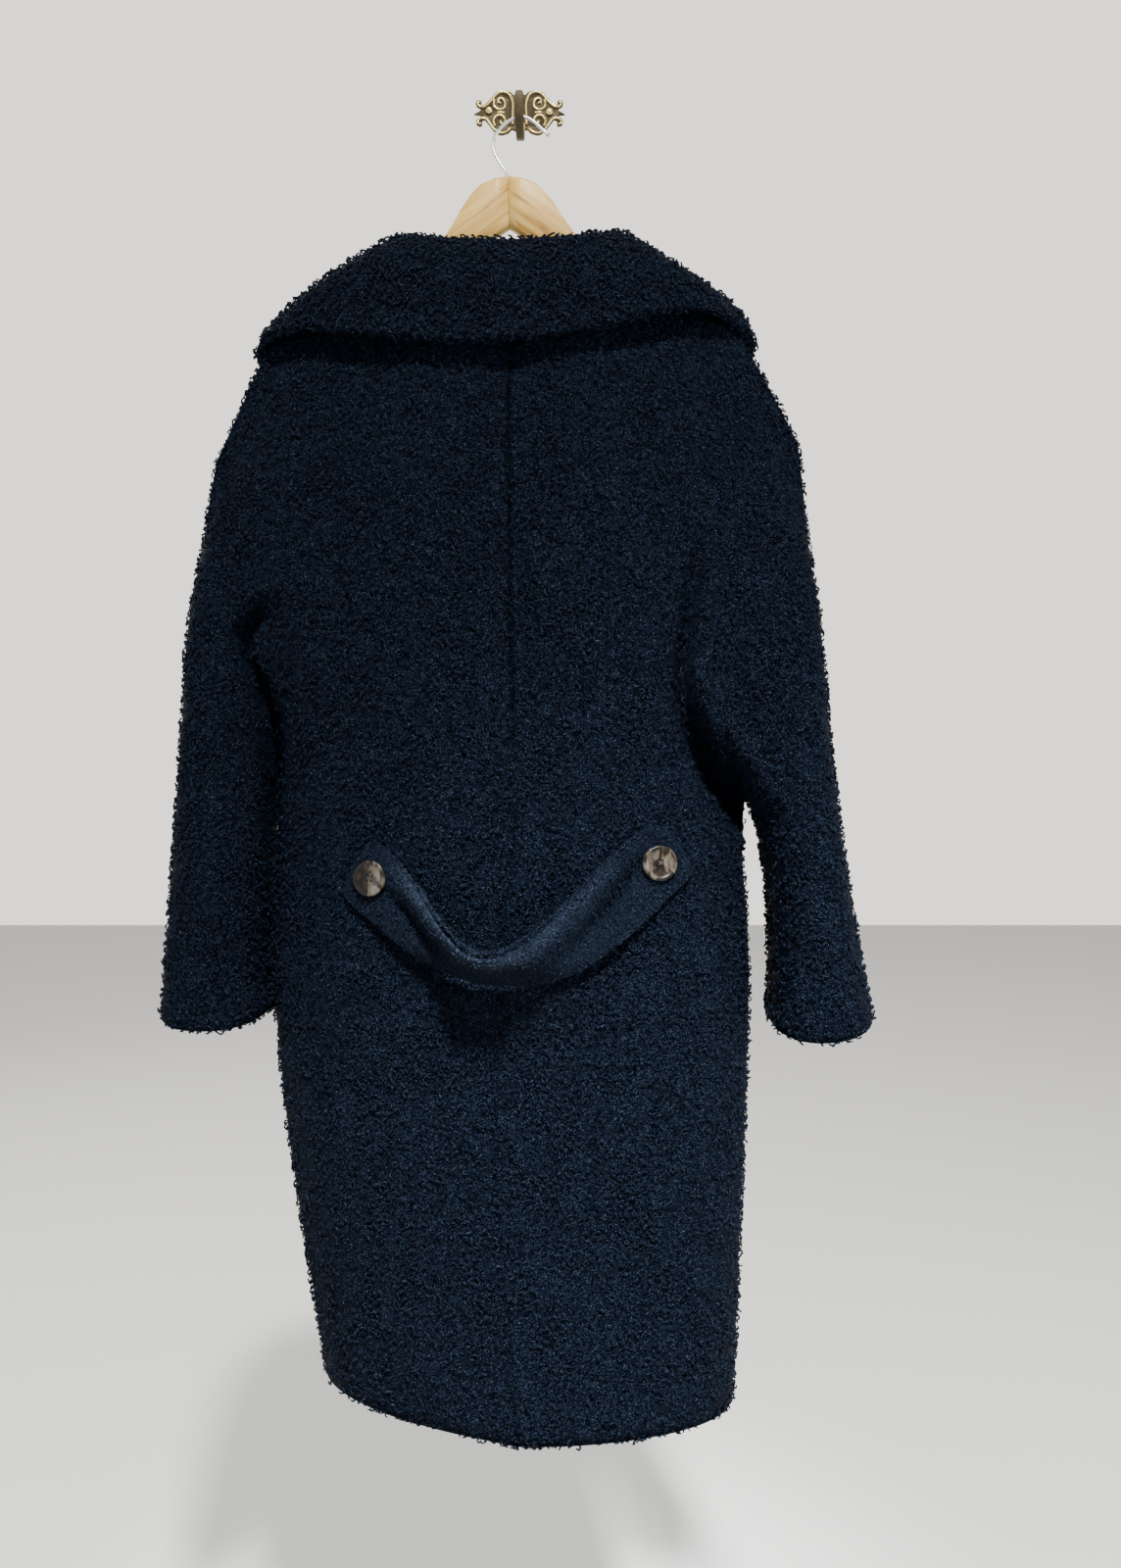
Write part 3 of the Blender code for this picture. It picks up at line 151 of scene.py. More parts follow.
lamp("ceiling_lamp", (0.41, -2.41, 2.83), (0, -0.1, -0.65), 0.26, 380, (1.0, 0.98, 0.95))
lamp("left_lamp", (-2.4, -1.4, -0.3), (0, -0.1, -0.8), 1.2, 38, (0.96, 0.98, 1.0))
lamp("right_lamp", (2.4, -1.0, -0.4), (0.2, -0.1, -0.85), 1.0, 58, (0.96, 0.98, 1.0))
lamp("wall_lamp", (-1.6, 2.2, 0.9), (0, -0.1, -0.6), 1.8, 40, (1.0, 0.98, 0.95))

# A soft spot beside the ceiling lamp that brightens the lower half of the coat
hem_spot = bpy.data.lights.new("hem_spot", "SPOT")
hem_spot.energy = 2250
hem_spot.spot_size = math.radians(15)
hem_spot.spot_blend = 1.0
hem_spot.shadow_soft_size = 0.14
hang_light(hem_spot, (0.53, -2.57, 2.43), (0.10, -0.15, -1.22))

room = bpy.data.worlds.new("room")
room.use_nodes = True
direction = room.node_tree.nodes.new("ShaderNodeTexCoord").outputs["Generated"]
split = node_of(room.node_tree, "ShaderNodeSeparateXYZ", {0: direction})
to_wall = mapped(room.node_tree, split.outputs["Y"], ROOM_END, WALL_START)
room.node_tree.links.new(mixed(room.node_tree, to_wall, ROOM_SIDE, WALL_SIDE),
                         room.node_tree.nodes["Background"].inputs["Color"])
bpy.context.scene.world = room

floor_finish, _, _ = new_finish("pale_floor", 0.8, Base_Color=(0.78, 0.775, 0.76, 1))
floor_shape = bmesh.new()
bmesh.ops.create_grid(floor_shape, x_segments=1, y_segments=1, size=6.0,
                      matrix=Matrix.Translation((0, 0, FLOOR_HEIGHT)))
floor = shown("floor", mesh_of("floor", floor_shape))
floor.data.materials.append(floor_finish)


# The wall hook: a cast plate of scrolls, an upturned prong and two slotted screws, all of brass. The plate's and
# the screws' brass has gone dark in its hollows and is rubbed bright on its ribs, and the prong's is darker the
# farther it stands from the wall. The plate is screwed to the wall.

PLATE_FACE = -2.0 * MM          # the plate's front face
RIB_TOP = -3.5 * MM             # the crest of its ribs
SCREW_TOP = -4.5 * MM           # the crest of the screws' heads
PRONG_DARK = -32.0 * MM         # the prong is darkest at this depth
PRONG_BRIGHT = 14.0 * MM        # and would be brightest at this one
CAST_EDGE = 0.25 * MM           # the width of the prong's rubbed edges
CAST_ANGLE = 0.5                # radians, above which an edge is rubbed


def copy_of(node):
    """A bmesh copy of a CAD node, with its loose triangles merged."""
    shape = bmesh.new()
    shape.from_mesh(frame["nodes"][node].data)
    bmesh.ops.remove_doubles(shape, verts=shape.verts, dist=0.01 * MM)
    return shape


def add_piece(name, shape, finish, replaced=(), smooth_angle=40):
    """Makes a shape a smooth piece that rides on the row's one body and stands for some CAD nodes."""
    piece = shown(name, mesh_of(name, shape))
    piece.data.materials.append(finish)
    piece.data.shade_smooth()
    piece.data.set_sharp_from_angle(angle=math.radians(smooth_angle))
    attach(piece, "root")
    if replaced:
        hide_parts(*replaced)
    return piece


def group_of(name, kind, takes, gives):
    """A node group with its sockets, and its input and output nodes."""
    tree = bpy.data.node_groups.new(name, kind + "NodeTree")
    for way, sockets in (("INPUT", takes), ("OUTPUT", gives)):
        for socket, carried in sockets.items():
            tree.interface.new_socket(socket, in_out=way, socket_type="NodeSocket" + carried)
    return tree, tree.nodes.new("NodeGroupInput"), tree.nodes.new("NodeGroupOutput")


def on_piece(tree):
    """The place on the piece, in metres."""
    return tree.nodes.new("ShaderNodeTexCoord").outputs["Object"]


def noise(tree, place, **plain):
    """A noise texture's value at a place."""
    return node_of(tree, "ShaderNodeTexNoise", {"Vector": place, **plain}).outputs["Fac"]


def maths(tree, operation, *values, **settings):
    """The result of an operation on plain values and other nodes' outputs."""
    return node_of(tree, "ShaderNodeMath", dict(enumerate(values)), operation=operation, **settings).outputs[0]


def ramp(tree, factor, stops):
    """The colour that a factor picks from pairs of place and colour."""
    made = node_of(tree, "ShaderNodeValToRGB", {"Fac": factor})
    while len(made.color_ramp.elements) < len(stops):
        made.color_ramp.elements.new(0.5)
    for element, (place, colour) in zip(made.color_ramp.elements, stops):
        element.position = place
        element.color = (*colour, 1)
    return made.outputs["Color"]


def bump_from(tree, surface, height, strength, distance):
    """Lets a height shape the surface's shading."""
    bump = node_of(tree, "ShaderNodeBump", {"Height": height, "Strength": strength, "Distance": distance})
    tree.links.new(bump.outputs["Normal"], surface.inputs["Normal"])


def brass_wear_group():
    """A shader group: colour, roughness and grime of brass, dark at one depth and bright at another."""
    tree, given, result = group_of("brass_wear", "Shader", {"Hollow": "Float", "Rib": "Float"},
                                   {"Color": "Color", "Roughness": "Float", "Grime": "Float"})
    place = on_piece(tree)
    split = node_of(tree, "ShaderNodeSeparateXYZ", {0: place})
    depth = mapped(tree, split.outputs["Y"], given.outputs["Hollow"], given.outputs["Rib"])
    grime = noise(tree, place, Scale=420.0, Detail=4.0, Roughness=0.7)
    worn = maths(tree, "MULTIPLY_ADD", grime, 0.55, depth)
    colour = ramp(tree, worn, [(0.30, (0.055, 0.042, 0.020)), (0.60, (0.20, 0.145, 0.050)),
                               (0.90, (0.52, 0.38, 0.115)), (1.0, (0.74, 0.58, 0.22))])
    tree.links.new(colour, result.inputs["Color"])
    tree.links.new(mapped(tree, worn, 0.3, 1.2, 0.7, 0.28), result.inputs["Roughness"])
    tree.links.new(grime, result.inputs["Grime"])
    return tree


brass_wear = brass_wear_group()


def aged_brass(name, hollow, rib):
    """Brass that is dark where y is hollow and bright where y is rib: on the plate and screws its patina and
    wear, on the prong a darkening away from the wall.
    """
    finish, surface, tree = new_finish(name, 0.42, 0.65)
    wear = node_of(tree, "ShaderNodeGroup", {"Hollow": hollow, "Rib": rib}, node_tree=brass_wear)
    tree.links.new(wear.outputs["Color"], surface.inputs["Base Color"])
    tree.links.new(wear.outputs["Roughness"], surface.inputs["Roughness"])
    bump_from(tree, surface, wear.outputs["Grime"], 0.35, 0.25 * MM)
    return finish


plate_brass = aged_brass("plate_brass", PLATE_FACE, RIB_TOP)
add_piece("wall_plate_cast", copy_of("wall_plate"), plate_brass, ["wall_plate"])
# The prong's brass only grows darker the farther it stands from the wall
prong_brass = aged_brass("prong_brass", PRONG_DARK, PRONG_BRIGHT)
prong_shape = copy_of("wall_prong")
bmesh.ops.bevel(prong_shape, geom=[edge for edge in prong_shape.edges if edge.calc_face_angle(0) > CAST_ANGLE],
                offset=CAST_EDGE, segments=2, profile=0.5, affect="EDGES", material=-1)
add_piece("wall_prong_cast", prong_shape, prong_brass, ["wall_prong"])
screw_brass = aged_brass("screw_brass", PLATE_FACE, SCREW_TOP)
for name in ("wall_screw_left", "wall_screw_right"):
    add_piece(name + "_turned", copy_of(name), screw_brass, [name])


# The hanger: two flat beech arms, cut along the grain and glued in the middle, with a rounded top and a satin
# varnish. A bent steel wire with a ball at its tip is pushed into the joint.

GRAIN_SLOPE = math.radians(36)
GRAIN_SIZE = (0.11, 0.011, 0.011)       # along the grain and across it, in metres


def smoothed(shape, levels, sharp=None, hardness=1.0):
    """The shape after Catmull-Clark subdivision, with its sharp edges creased."""
    if sharp:
        crease = shape.edges.layers.float.new("crease_edge")
        for edge in shape.edges:
            if edge.calc_face_angle(0) > math.radians(sharp):
                edge[crease] = hardness
    rough = shown("rough", mesh_of("rough", shape))
    change = rough.modifiers.new("smooth", "SUBSURF")
    change.levels = levels
    change.render_levels = levels
    finished = bmesh.new()
    finished.from_object(rough, bpy.context.evaluated_depsgraph_get())
    bpy.data.objects.remove(rough, do_unlink=True)
    return finished


def beech_grain_group():
    """A shader group: the colour and the fine fibres of beech whose grain runs at a slope in the x, z plane."""
    tree, given, result = group_of("beech_grain", "Shader", {"Turn": "Vector"},
                                   {"Color": "Color", "Fibres": "Float"})
    turned = node_of(tree, "ShaderNodeMapping", {"Vector": on_piece(tree), "Rotation": given.outputs["Turn"],
                                                 "Scale": GRAIN_SIZE}, vector_type="TEXTURE").outputs["Vector"]
    rings = noise(tree, turned, Scale=1.6, Detail=5.0, Distortion=0.7)
    colour = ramp(tree, rings, [(0.34, (0.33, 0.172, 0.033)), (0.42, (0.49, 0.295, 0.068)),
                                (0.56, (0.58, 0.368, 0.094)), (0.68, (0.66, 0.445, 0.135))])
    fibres = noise(tree, turned, Scale=9.0, Detail=3.0, Roughness=0.6)
    tree.links.new(mixed(tree, 0.3, colour, fibres, blend_type="MULTIPLY"), result.inputs["Color"])
    tree.links.new(fibres, result.inputs["Fibres"])
    return tree


beech_grain = beech_grain_group()


def beech(name, slope):
    """Pale varnished beech whose grain runs along an arm."""
    finish, surface, tree = new_finish(name, 0.5, Coat_Weight=0.1, Coat_Roughness=0.35, Specular_IOR_Level=0.3)
    grain = node_of(tree, "ShaderNodeGroup", {"Turn": (0, slope, 0)}, node_tree=beech_grain)
    tree.links.new(grain.outputs["Color"], surface.inputs["Base Color"])
    bump_from(tree, surface, grain.outputs["Fibres"], 0.15, 0.3 * MM)
    return finish


for name, slope in (("left", -GRAIN_SLOPE), ("right", GRAIN_SLOPE)):
    node = "hanger_%s_arm" % name
    add_piece(node + "_beech", copy_of(node), beech("beech_" + name, slope), [node],
              smooth_angle=35)

steel, steel_surface, steel_tree = new_finish("plated_steel", 0.34, 0.9)
steel_wear = noise(steel_tree, on_piece(steel_tree), Scale=260.0, Detail=3.0)
steel_colour = ramp(steel_tree, steel_wear, [(0.3, (0.46, 0.46, 0.46)), (0.7, (0.66, 0.66, 0.65))])
steel_tree.links.new(steel_colour, steel_surface.inputs["Base Color"])
add_piece("hanger_hook_wire", smoothed(copy_of("hanger_hook"), 1), steel, ["hanger_hook"],
          smooth_angle=60)


# The coat's cloth: a thick boucle wool, woven from looped yarn so that curls of it stand all over the face.
# The panels are sewn together and lie as the hanger and their own weight hold them. The seam down the middle of
# the back is drawn in, so that it lies in a groove, and has painted shade in it. The wool's colour has painted
# shade in the gaps between its loops and painted glints on their tops.

FACE_LEVELS = 2                 # how often a panel's grid is halved
SHARP = 50                      # degrees, above which an edge of a panel stays sharp
QUAD_ANGLE = 50                 # degrees, below which two triangles of a panel are joined
WALL_EDGE = 62                  # degrees, above which an edge parts a panel's wall from its rim
OUTER, RIM = 1, 2               # marks for a panel's outer wall and its rims, kept while it is subdivided
DOWNWARD = -0.5                 # the z of its normal, below which a rim's face looks down
SEAM_REACH = 0.9 * MM           # how far apart two sewn edges are in the solids
SEAM_PULL = 0.55                # the share of that which each edge is drawn across
SEAM_GROOVE = 1.4 * MM          # how deep the centre back seam lies
SEAM_DEEP = -0.55               # height below which its groove gets flatter
SEAM_FADE = 0.15                # over which it does
SEAM_FLATTER = 0.6              # and by what share
IN_GROOVE = 0.8                 # the share of its depth, above which a face is in the groove
GROOVE_CURLS = 0.45             # the share of the curls that is left there
SEAM_SHADE_START = 0.84                # the share of its depth, above which the cloth is in shade
SEAM_SHADE = 0.5                # the share of its colour that the cloth keeps at the bottom
DEPTH_FADE = 25                 # over which a fold fades towards the coat's front, in mm
WIDE_FOLD = 16                  # half width, from which a fold needs no finer grid
NEAR_FOLD = 2.0 * MM            # how far a fold moves the cloth where its grid is halved
STRAY = 5.0 * MM                # how far the rings of yarn stray from even cells
RING = 0.38                     # the middle of a ring's yarn, as a share of its cell
RING_EDGE, RING_TOP = 0.22, 0.02        # how far from that middle the yarn ends and is highest
RING_SIZES = (1.0, 1.6)         # two sizes of rings overlap
HAIR_SHARE = 0.7                # the height of the hairs, where that of the rings is 1
RIDGE_LIGHT_GLINTS = 0.14            # how much the belt's lit ridge lowers the bar for a painted glint


def looped_wool_group():
    """A shader group: rings of looped yarn, as a height, and their colour, from the painted shade of the gaps to
    the loops' tops, with painted glints and painted seam shade.
    """
    tree, given, result = group_of("looped_wool", "Shader", {
        "Gap": "Color", "Loop": "Color", "Glint": "Color", "Rings": "Float", "Hairs": "Float",
        "Ring Share": "Float"}, {"Color": "Color", "Height": "Float"})
    place = on_piece(tree)
    wander = node_of(tree, "ShaderNodeTexNoise", {"Vector": place, "Scale": 150.0, "Detail": 2.0})
    strayed = node_of(tree, "ShaderNodeVectorMath", {
        0: wander.outputs["Color"], 1: (STRAY, STRAY, STRAY), 2: place}, operation="MULTIPLY_ADD")
    ridges = []
    for factor in RING_SIZES:
        number = maths(tree, "MULTIPLY", given.outputs["Rings"], factor)
        cells = node_of(tree, "ShaderNodeTexVoronoi", {"Vector": strayed.outputs[0], "Scale": number,
                                                       "Randomness": 1.0})
        off_ring = maths(tree, "ABSOLUTE", maths(tree, "SUBTRACT", cells.outputs["Distance"], RING))
        ridges.append(mapped(tree, off_ring, RING_EDGE, RING_TOP, interpolation_type="SMOOTHSTEP"))
    rings = maths(tree, "MULTIPLY", maths(tree, "MAXIMUM", *ridges), given.outputs["Ring Share"])
    hairs = noise(tree, place, Scale=given.outputs["Hairs"], Detail=4.0, Roughness=0.7, Distortion=1.6)
    height = maths(tree, "MULTIPLY_ADD", mapped(tree, hairs, 0.46, 0.62), HAIR_SHARE, rings)
    tree.links.new(height, result.inputs["Height"])

    # Painted shade: the colour darkens from the loops' tops down into the gaps between them, and its hue varies
    # at random
    dyes = noise(tree, place, Scale=420.0, Detail=2.0)
    dyed = node_of(tree, "ShaderNodeHueSaturation", {
        "Hue": mapped(tree, dyes, 0.35, 0.65, 0.475, 0.53),
        "Color": mixed(tree, height, given.outputs["Gap"], given.outputs["Loop"])})
    # Painted highlights: bright glints mixed in on the loops' tops, and more of them along the belt's lit ridge
    rubbed = node_of(tree, "ShaderNodeAttribute", attribute_name="rubbed")
    glints = noise(tree, place, Scale=1250.0, Detail=2.0, Roughness=0.6, Distortion=0.8)
    bright = maths(tree, "MULTIPLY_ADD", rubbed.outputs["Fac"], RIDGE_LIGHT_GLINTS, glints)
    on_top = maths(tree, "MULTIPLY", mapped(tree, bright, 0.57, 0.65), height, use_clamp=True)
    lit = mixed(tree, on_top, dyed.outputs["Color"], given.outputs["Glint"])
    # Painted shade in the groove of the centre back seam
    seam = node_of(tree, "ShaderNodeAttribute", attribute_name="seam")
    painted_seam_shade = mapped(tree, seam.outputs["Fac"], SEAM_SHADE_START, 1.0, 1.0, SEAM_SHADE)
    shaded = node_of(tree, "ShaderNodeVectorMath", {0: lit, "Scale": painted_seam_shade}, operation="SCALE")
    tree.links.new(shaded.outputs[0], result.inputs["Color"])
    return tree


looped_wool = looped_wool_group()


def wool(name, gap, loop, glint, rings, hairs, share, gloss, sheen):
    """Navy wool: the colours of its gaps' painted shade, its loops and its painted glints, rings and hairs to
    the metre, and shine.
    """
    finish, surface, tree = new_finish(name, 0.55, Sheen_Weight=sheen, Sheen_Roughness=0.4,
                                       Sheen_Tint=(0.35, 0.55, 1.0, 1), Specular_IOR_Level=gloss,
                                       Specular_Tint=(0.62, 0.78, 1.0, 1))
    cloth = node_of(tree, "ShaderNodeGroup", {
        "Gap": (*gap, 1), "Loop": (*loop, 1), "Glint": (*glint, 1), "Rings": rings, "Hairs": hairs,
        "Ring Share": share}, node_tree=looped_wool)
    tree.links.new(cloth.outputs["Color"], surface.inputs["Base Color"])
    bump_from(tree, surface, cloth.outputs["Height"], 1.0, 1.4 * MM)
    return finish


# Each wool's colours: the gaps' painted shade, the yarn on the loops' tops, and painted glints
ground_wool = wool("boucle_ground", (0.0002, 0.0003, 0.0008), (0.0027, 0.0052, 0.0128), (0.080, 0.120, 0.196),
                   215.0, 640.0, 0.45, 0.015, 0.0)
curl_wool = wool("boucle_curls", (0.0002, 0.0004, 0.0013), (0.0072, 0.0136, 0.0325), (0.142, 0.205, 0.318),
                 300.0, 640.0, 0.3, 0.06, 0.02)


def panel_shape(node, sewn_to, marked, hardness):
    """A CAD panel as a smooth wall of quads, drawn up to the panels it is sewn to.

    Its seam layer is 1 along the first of those seams. Its rims are marked, and its larger wall too if asked.
    """
    shape = copy_of(node)
    seam = shape.verts.layers.float.new("seam")
    for other in sewn_to:
        joined = copy_of(other)
        tree = BVHTree.FromBMesh(joined)
        joined.free()
        for vert in shape.verts:
            place, _, _, _ = tree.find_nearest(vert.co, SEAM_REACH)
            if place:
                vert.co = vert.co.lerp(place, SEAM_PULL)
                vert[seam] = 1.0 if other == sewn_to[0] else vert[seam]
    bmesh.ops.join_triangles(shape, faces=shape.faces[:], angle_face_threshold=math.radians(QUAD_ANGLE),
                             angle_shape_threshold=math.radians(180))
    walls = sorted(walls_of(shape), key=lambda faces: -sum(face.calc_area() for face in faces))
    for number, wall in enumerate(walls):
        for face in wall:
            face.material_index = RIM if number > 1 else OUTER if marked and number == 0 else 0
    return smoothed(shape, FACE_LEVELS, SHARP, hardness)


def walls_of(shape):
    """The shape's faces, in groups that sharp edges part: its two walls and its rims."""
    groups = []
    seen = set()
    for first in shape.faces:
        if first in seen:
            continue
        group = [first]
        seen.add(first)
        for face in group:
            for edge in face.edges:
                if edge.calc_face_angle(0) > math.radians(WALL_EDGE):
                    continue
                for beside in edge.link_faces:
                    if beside not in seen:
                        seen.add(beside)
                        group.append(beside)
        groups.append(group)
    return groups


# Curls of yarn: short bent lengths, a few dozen faces each, strewn over the cloth's outer face and its rims

CURL_SPACING = 4.25 * MM
CURL_SIZE = 1.1
RIM_SPACING = 2.6 * MM
MOST_CURLS = 400000.0           # to the square metre, before the spacing thins them out
CURL_SIZES = (0.7, 1.25)        # the smallest and the largest share of a piece's curl size
CURL_LIFT = (-0.5 * MM, 1.0 * MM)       # how deep a curl sits in the cloth and how far it stands off
CURL_TILT = 0.75                # radians, the most that a curl leans
CURLS = [                       # radius and thickness in mm, turn in degrees, rise in mm, steps
    (1.7, 0.75, 300, 1.1, 4), (1.35, 0.70, 340, 1.3, 4), (2.1, 0.70, 220, 1.2, 3), (1.2, 0.80, 290, 0.7, 4)]


def curl_shapes():
    """A collection with one object for each kind of curl, bent by a spin."""
    kinds = bpy.data.collections.new("curl_kinds")
    bpy.context.scene.collection.children.link(kinds)
    for number, (radius, thick, turn, rise, steps) in enumerate(CURLS):
        shape = bmesh.new()
        upright = Matrix.Translation((radius * MM, 0, 0)) @ Matrix.Rotation(math.pi / 2, 4, "X")
        bmesh.ops.create_circle(shape, cap_ends=True, segments=3, radius=thick * MM, matrix=upright)
        bmesh.ops.spin(shape, geom=shape.verts[:] + shape.edges[:] + shape.faces[:], cent=(0, 0, 0),
                       axis=(0, 0, 1), dvec=(0, 0, rise * MM / steps), angle=math.radians(turn), steps=steps)
        bmesh.ops.recalc_face_normals(shape, faces=shape.faces[:])
        mesh = mesh_of("curl_%d" % number, shape)
        mesh.shade_smooth()
        kinds.objects.link(bpy.data.objects.new(mesh.name, mesh))
    return kinds


curl_kinds = curl_shapes()


def strewing_group():
    """A geometry group that strews curls over the faces marked curly or rim, and makes them a mesh."""
    tree, given, result = group_of("strewn_curls", "Geometry", {
        "Geometry": "Geometry", "Spacing": "Float", "Size": "Float", "Seed": "Int", "Kinds": "Collection"},
        {"Geometry": "Geometry"})
    tree.is_modifier = True
    sockets = {item.name: item.identifier for item in tree.interface.items_tree if item.in_out == "INPUT"}
    points = tree.nodes.new("GeometryNodeJoinGeometry")
    for mark, spacing in (("curly", given.outputs["Spacing"]), ("rim", RIM_SPACING)):
        marked = node_of(tree, "GeometryNodeInputNamedAttribute", {"Name": mark}, data_type="FLOAT")
        strewn = node_of(tree, "GeometryNodeDistributePointsOnFaces", {
            "Mesh": given.outputs["Geometry"], "Distance Min": spacing, "Density Max": MOST_CURLS,
            "Density Factor": marked.outputs["Attribute"], "Seed": given.outputs["Seed"]},
            distribute_method="POISSON")
        kept = node_of(tree, "GeometryNodeStoreNamedAttribute", {
            "Geometry": strewn.outputs["Points"], "Name": "upright", "Value": strewn.outputs["Rotation"]},
            data_type="QUATERNION")
        faced = node_of(tree, "GeometryNodeStoreNamedAttribute", {
            "Geometry": kept.outputs["Geometry"], "Name": "facing", "Value": strewn.outputs["Normal"]},
            data_type="FLOAT_VECTOR")
        tree.links.new(faced.outputs["Geometry"], points.inputs[0])
    upright = node_of(tree, "GeometryNodeInputNamedAttribute", {"Name": "upright"}, data_type="QUATERNION")
    facing = node_of(tree, "GeometryNodeInputNamedAttribute", {"Name": "facing"}, data_type="FLOAT_VECTOR")
    lift = node_of(tree, "FunctionNodeRandomValue", {"Min": CURL_LIFT[0], "Max": CURL_LIFT[1]},
                   data_type="FLOAT")
    off_cloth = node_of(tree, "ShaderNodeVectorMath", {"Vector": facing.outputs["Attribute"],
                                                       "Scale": lift.outputs["Value"]}, operation="SCALE")
    raised = node_of(tree, "GeometryNodeSetPosition", {"Geometry": points.outputs[0],
                                                       "Offset": off_cloth.outputs["Vector"]})
    any_way = node_of(tree, "FunctionNodeRandomValue", {
        "Min": (-CURL_TILT, -CURL_TILT, -math.pi), "Max": (CURL_TILT, CURL_TILT, math.pi)},
        data_type="FLOAT_VECTOR")
    turn = node_of(tree, "FunctionNodeEulerToRotation", {0: any_way.outputs["Value"]})
    turned = node_of(tree, "FunctionNodeRotateRotation", {
        "Rotation": upright.outputs["Attribute"], "Rotate By": turn.outputs[0]}, rotation_space="LOCAL")
    share = node_of(tree, "FunctionNodeRandomValue", {"Min": CURL_SIZES[0], "Max": CURL_SIZES[1]},
                    data_type="FLOAT")
    kinds = node_of(tree, "GeometryNodeCollectionInfo", {
        "Collection": given.outputs["Kinds"], "Separate Children": True, "Reset Children": True})
    placed = node_of(tree, "GeometryNodeInstanceOnPoints", {
        "Points": raised.outputs["Geometry"], "Instance": kinds.outputs[0], "Pick Instance": True,
        "Rotation": turned.outputs[0],
        "Scale": maths(tree, "MULTIPLY", share.outputs["Value"], given.outputs["Size"])})
    real = node_of(tree, "GeometryNodeRealizeInstances", {"Geometry": placed.outputs["Instances"]})
    tree.links.new(real.outputs["Geometry"], result.inputs["Geometry"])
    return tree, sockets


strewn_curls, strewing = strewing_group()


def add_curls(name, mesh, spacing, size, seed, finish):
    """A piece of curls, strewn over a mesh where its curly and rim attributes say."""
    piece = shown(name, mesh.copy())
    change = piece.modifiers.new("curls", "NODES")
    change.node_group = strewn_curls
    for socket, value in (("Spacing", spacing), ("Size", size), ("Seed", seed), ("Kinds", curl_kinds)):
        change[strewing[socket]] = value
    real = bpy.data.meshes.new_from_object(piece.evaluated_get(bpy.context.evaluated_depsgraph_get()))
    piece.modifiers.clear()
    piece.data = real
    real.name = name
    real.materials.clear()
    real.materials.append(finish)
    real.shade_smooth()
    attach(piece, "root")
    return piece


# A fold is a line of points, each with its x, z, half width and depth in mm. It moves the cloth along push, and
# only where the cloth's y lies between back and front, in mm too.
Fold = namedtuple("Fold", "line push back front")

# The cloth is creased where each sleeve meets the back, and rises in a crest beside the crease
LEFT_CREASE = Fold([(-207, -471, 7, 1), (-220, -478, 8, 11), (-230, -493, 8, 20), (-229, -513, 7, 24),
                    (-220, -534, 7, 25), (-212, -562, 9, 21), (-210, -590, 9, 20), (-211, -620, 9, 18),
                    (-214, -652, 9, 14)], (0, 1, 0), -200, -60)
LEFT_CREST = Fold([(-175, -440, 12, 0), (-198, -450, 13, 9), (-222, -458, 13, 10), (-244, -472, 12, 6),
                   (-254, -495, 12, 0)], (0, -1, 0), -200, -85)
RIGHT_CREASE = Fold([(150, -415, 8, 0), (147, -445, 8, 9), (142, -488, 8, 13), (140, -521, 8, 15),
                     (141, -552, 9, 18), (150, -586, 13, 30), (166, -612, 14, 34), (188, -643, 14, 28)],
                    (0, 1, 0), -200, -50)
RIGHT_CREST = Fold([(168, -425, 13, 0), (164, -480, 13, 6), (158, -530, 13, 9), (172, -570, 12, 14),
                    (193, -596, 12, 15), (214, -628, 11, 8)], (0, -1, 0), -200, -75)
FOLDS = [LEFT_CREASE, LEFT_CREST, RIGHT_CREASE, RIGHT_CREST]

# The left side of the body and the left sleeve meet below the arm, and the back bulges under the belt
LEFT_SIDE = Fold([(-207, -640, 20, 3), (-207, -720, 20, 5), (-206, -800, 20, 4)], (-1, 0, 0), -400, 100)
LEFT_UNDERARM = Fold([(-226, -630, 26, 3), (-228, -680, 28, 10), (-229, -740, 28, 12), (-226, -800, 26, 7)],
                     (1, 0, 0), -400, 100)
UNDER_BELT = Fold([(-75, -768, 26, 0), (-40, -784, 26, 10), (0, -787, 26, 14), (35, -780, 26, 10),
                   (70, -762, 26, 0)], (0, -1, 0), -400, -60)
BODY_FOLDS = {"left": FOLDS + [LEFT_SIDE, UNDER_BELT], "right": FOLDS + [UNDER_BELT]}
SLEEVE_FOLDS = {"left": FOLDS + [LEFT_UNDERARM], "right": FOLDS}


def fold_push(fold, place):
    """How far a fold moves a place of the cloth."""
    depth = place.y / MM
    ahead = (min(1.0, max(0.0, (fold.front - depth) / DEPTH_FADE))
             * min(1.0, max(0.0, (depth - fold.back) / DEPTH_FADE)))
    if ahead == 0.0:
        return Vector()
    here = Vector((place.x, place.z)) / MM
    best = 0.0
    for start, end in zip(fold.line, fold.line[1:]):
        run = Vector(end[:2]) - Vector(start[:2])
        share = max(0.0, min(1.0, (here - Vector(start[:2])).dot(run) / run.length_squared))
        away = (here - Vector(start[:2]) - run * share).length
        width = start[2] + (end[2] - start[2]) * share
        height = start[3] + (end[3] - start[3]) * share
        best = max(best, height * math.exp(-(away / width) ** 2))
    return Vector(fold.push) * (MM * ahead * best)


def fold_cloth(shape, folds):
    """Halves the grid beside the folds and presses them into the cloth."""
    near = set()
    for vert in shape.verts:
        if any(fold_push(fold, vert.co).length > NEAR_FOLD for fold in folds if fold.line[0][2] < WIDE_FOLD):
            near.update(vert.link_edges)
    if near:
        bmesh.ops.subdivide_edges(shape, edges=list(near), cuts=1, use_grid_fill=True)
    moves = [sum((fold_push(fold, vert.co) for fold in folds), Vector()) for vert in shape.verts]
    for vert, move in zip(shape.verts, moves):
        vert.co += move


HANGER_ARMS = ["hanger_left_arm_beech", "hanger_right_arm_beech"]


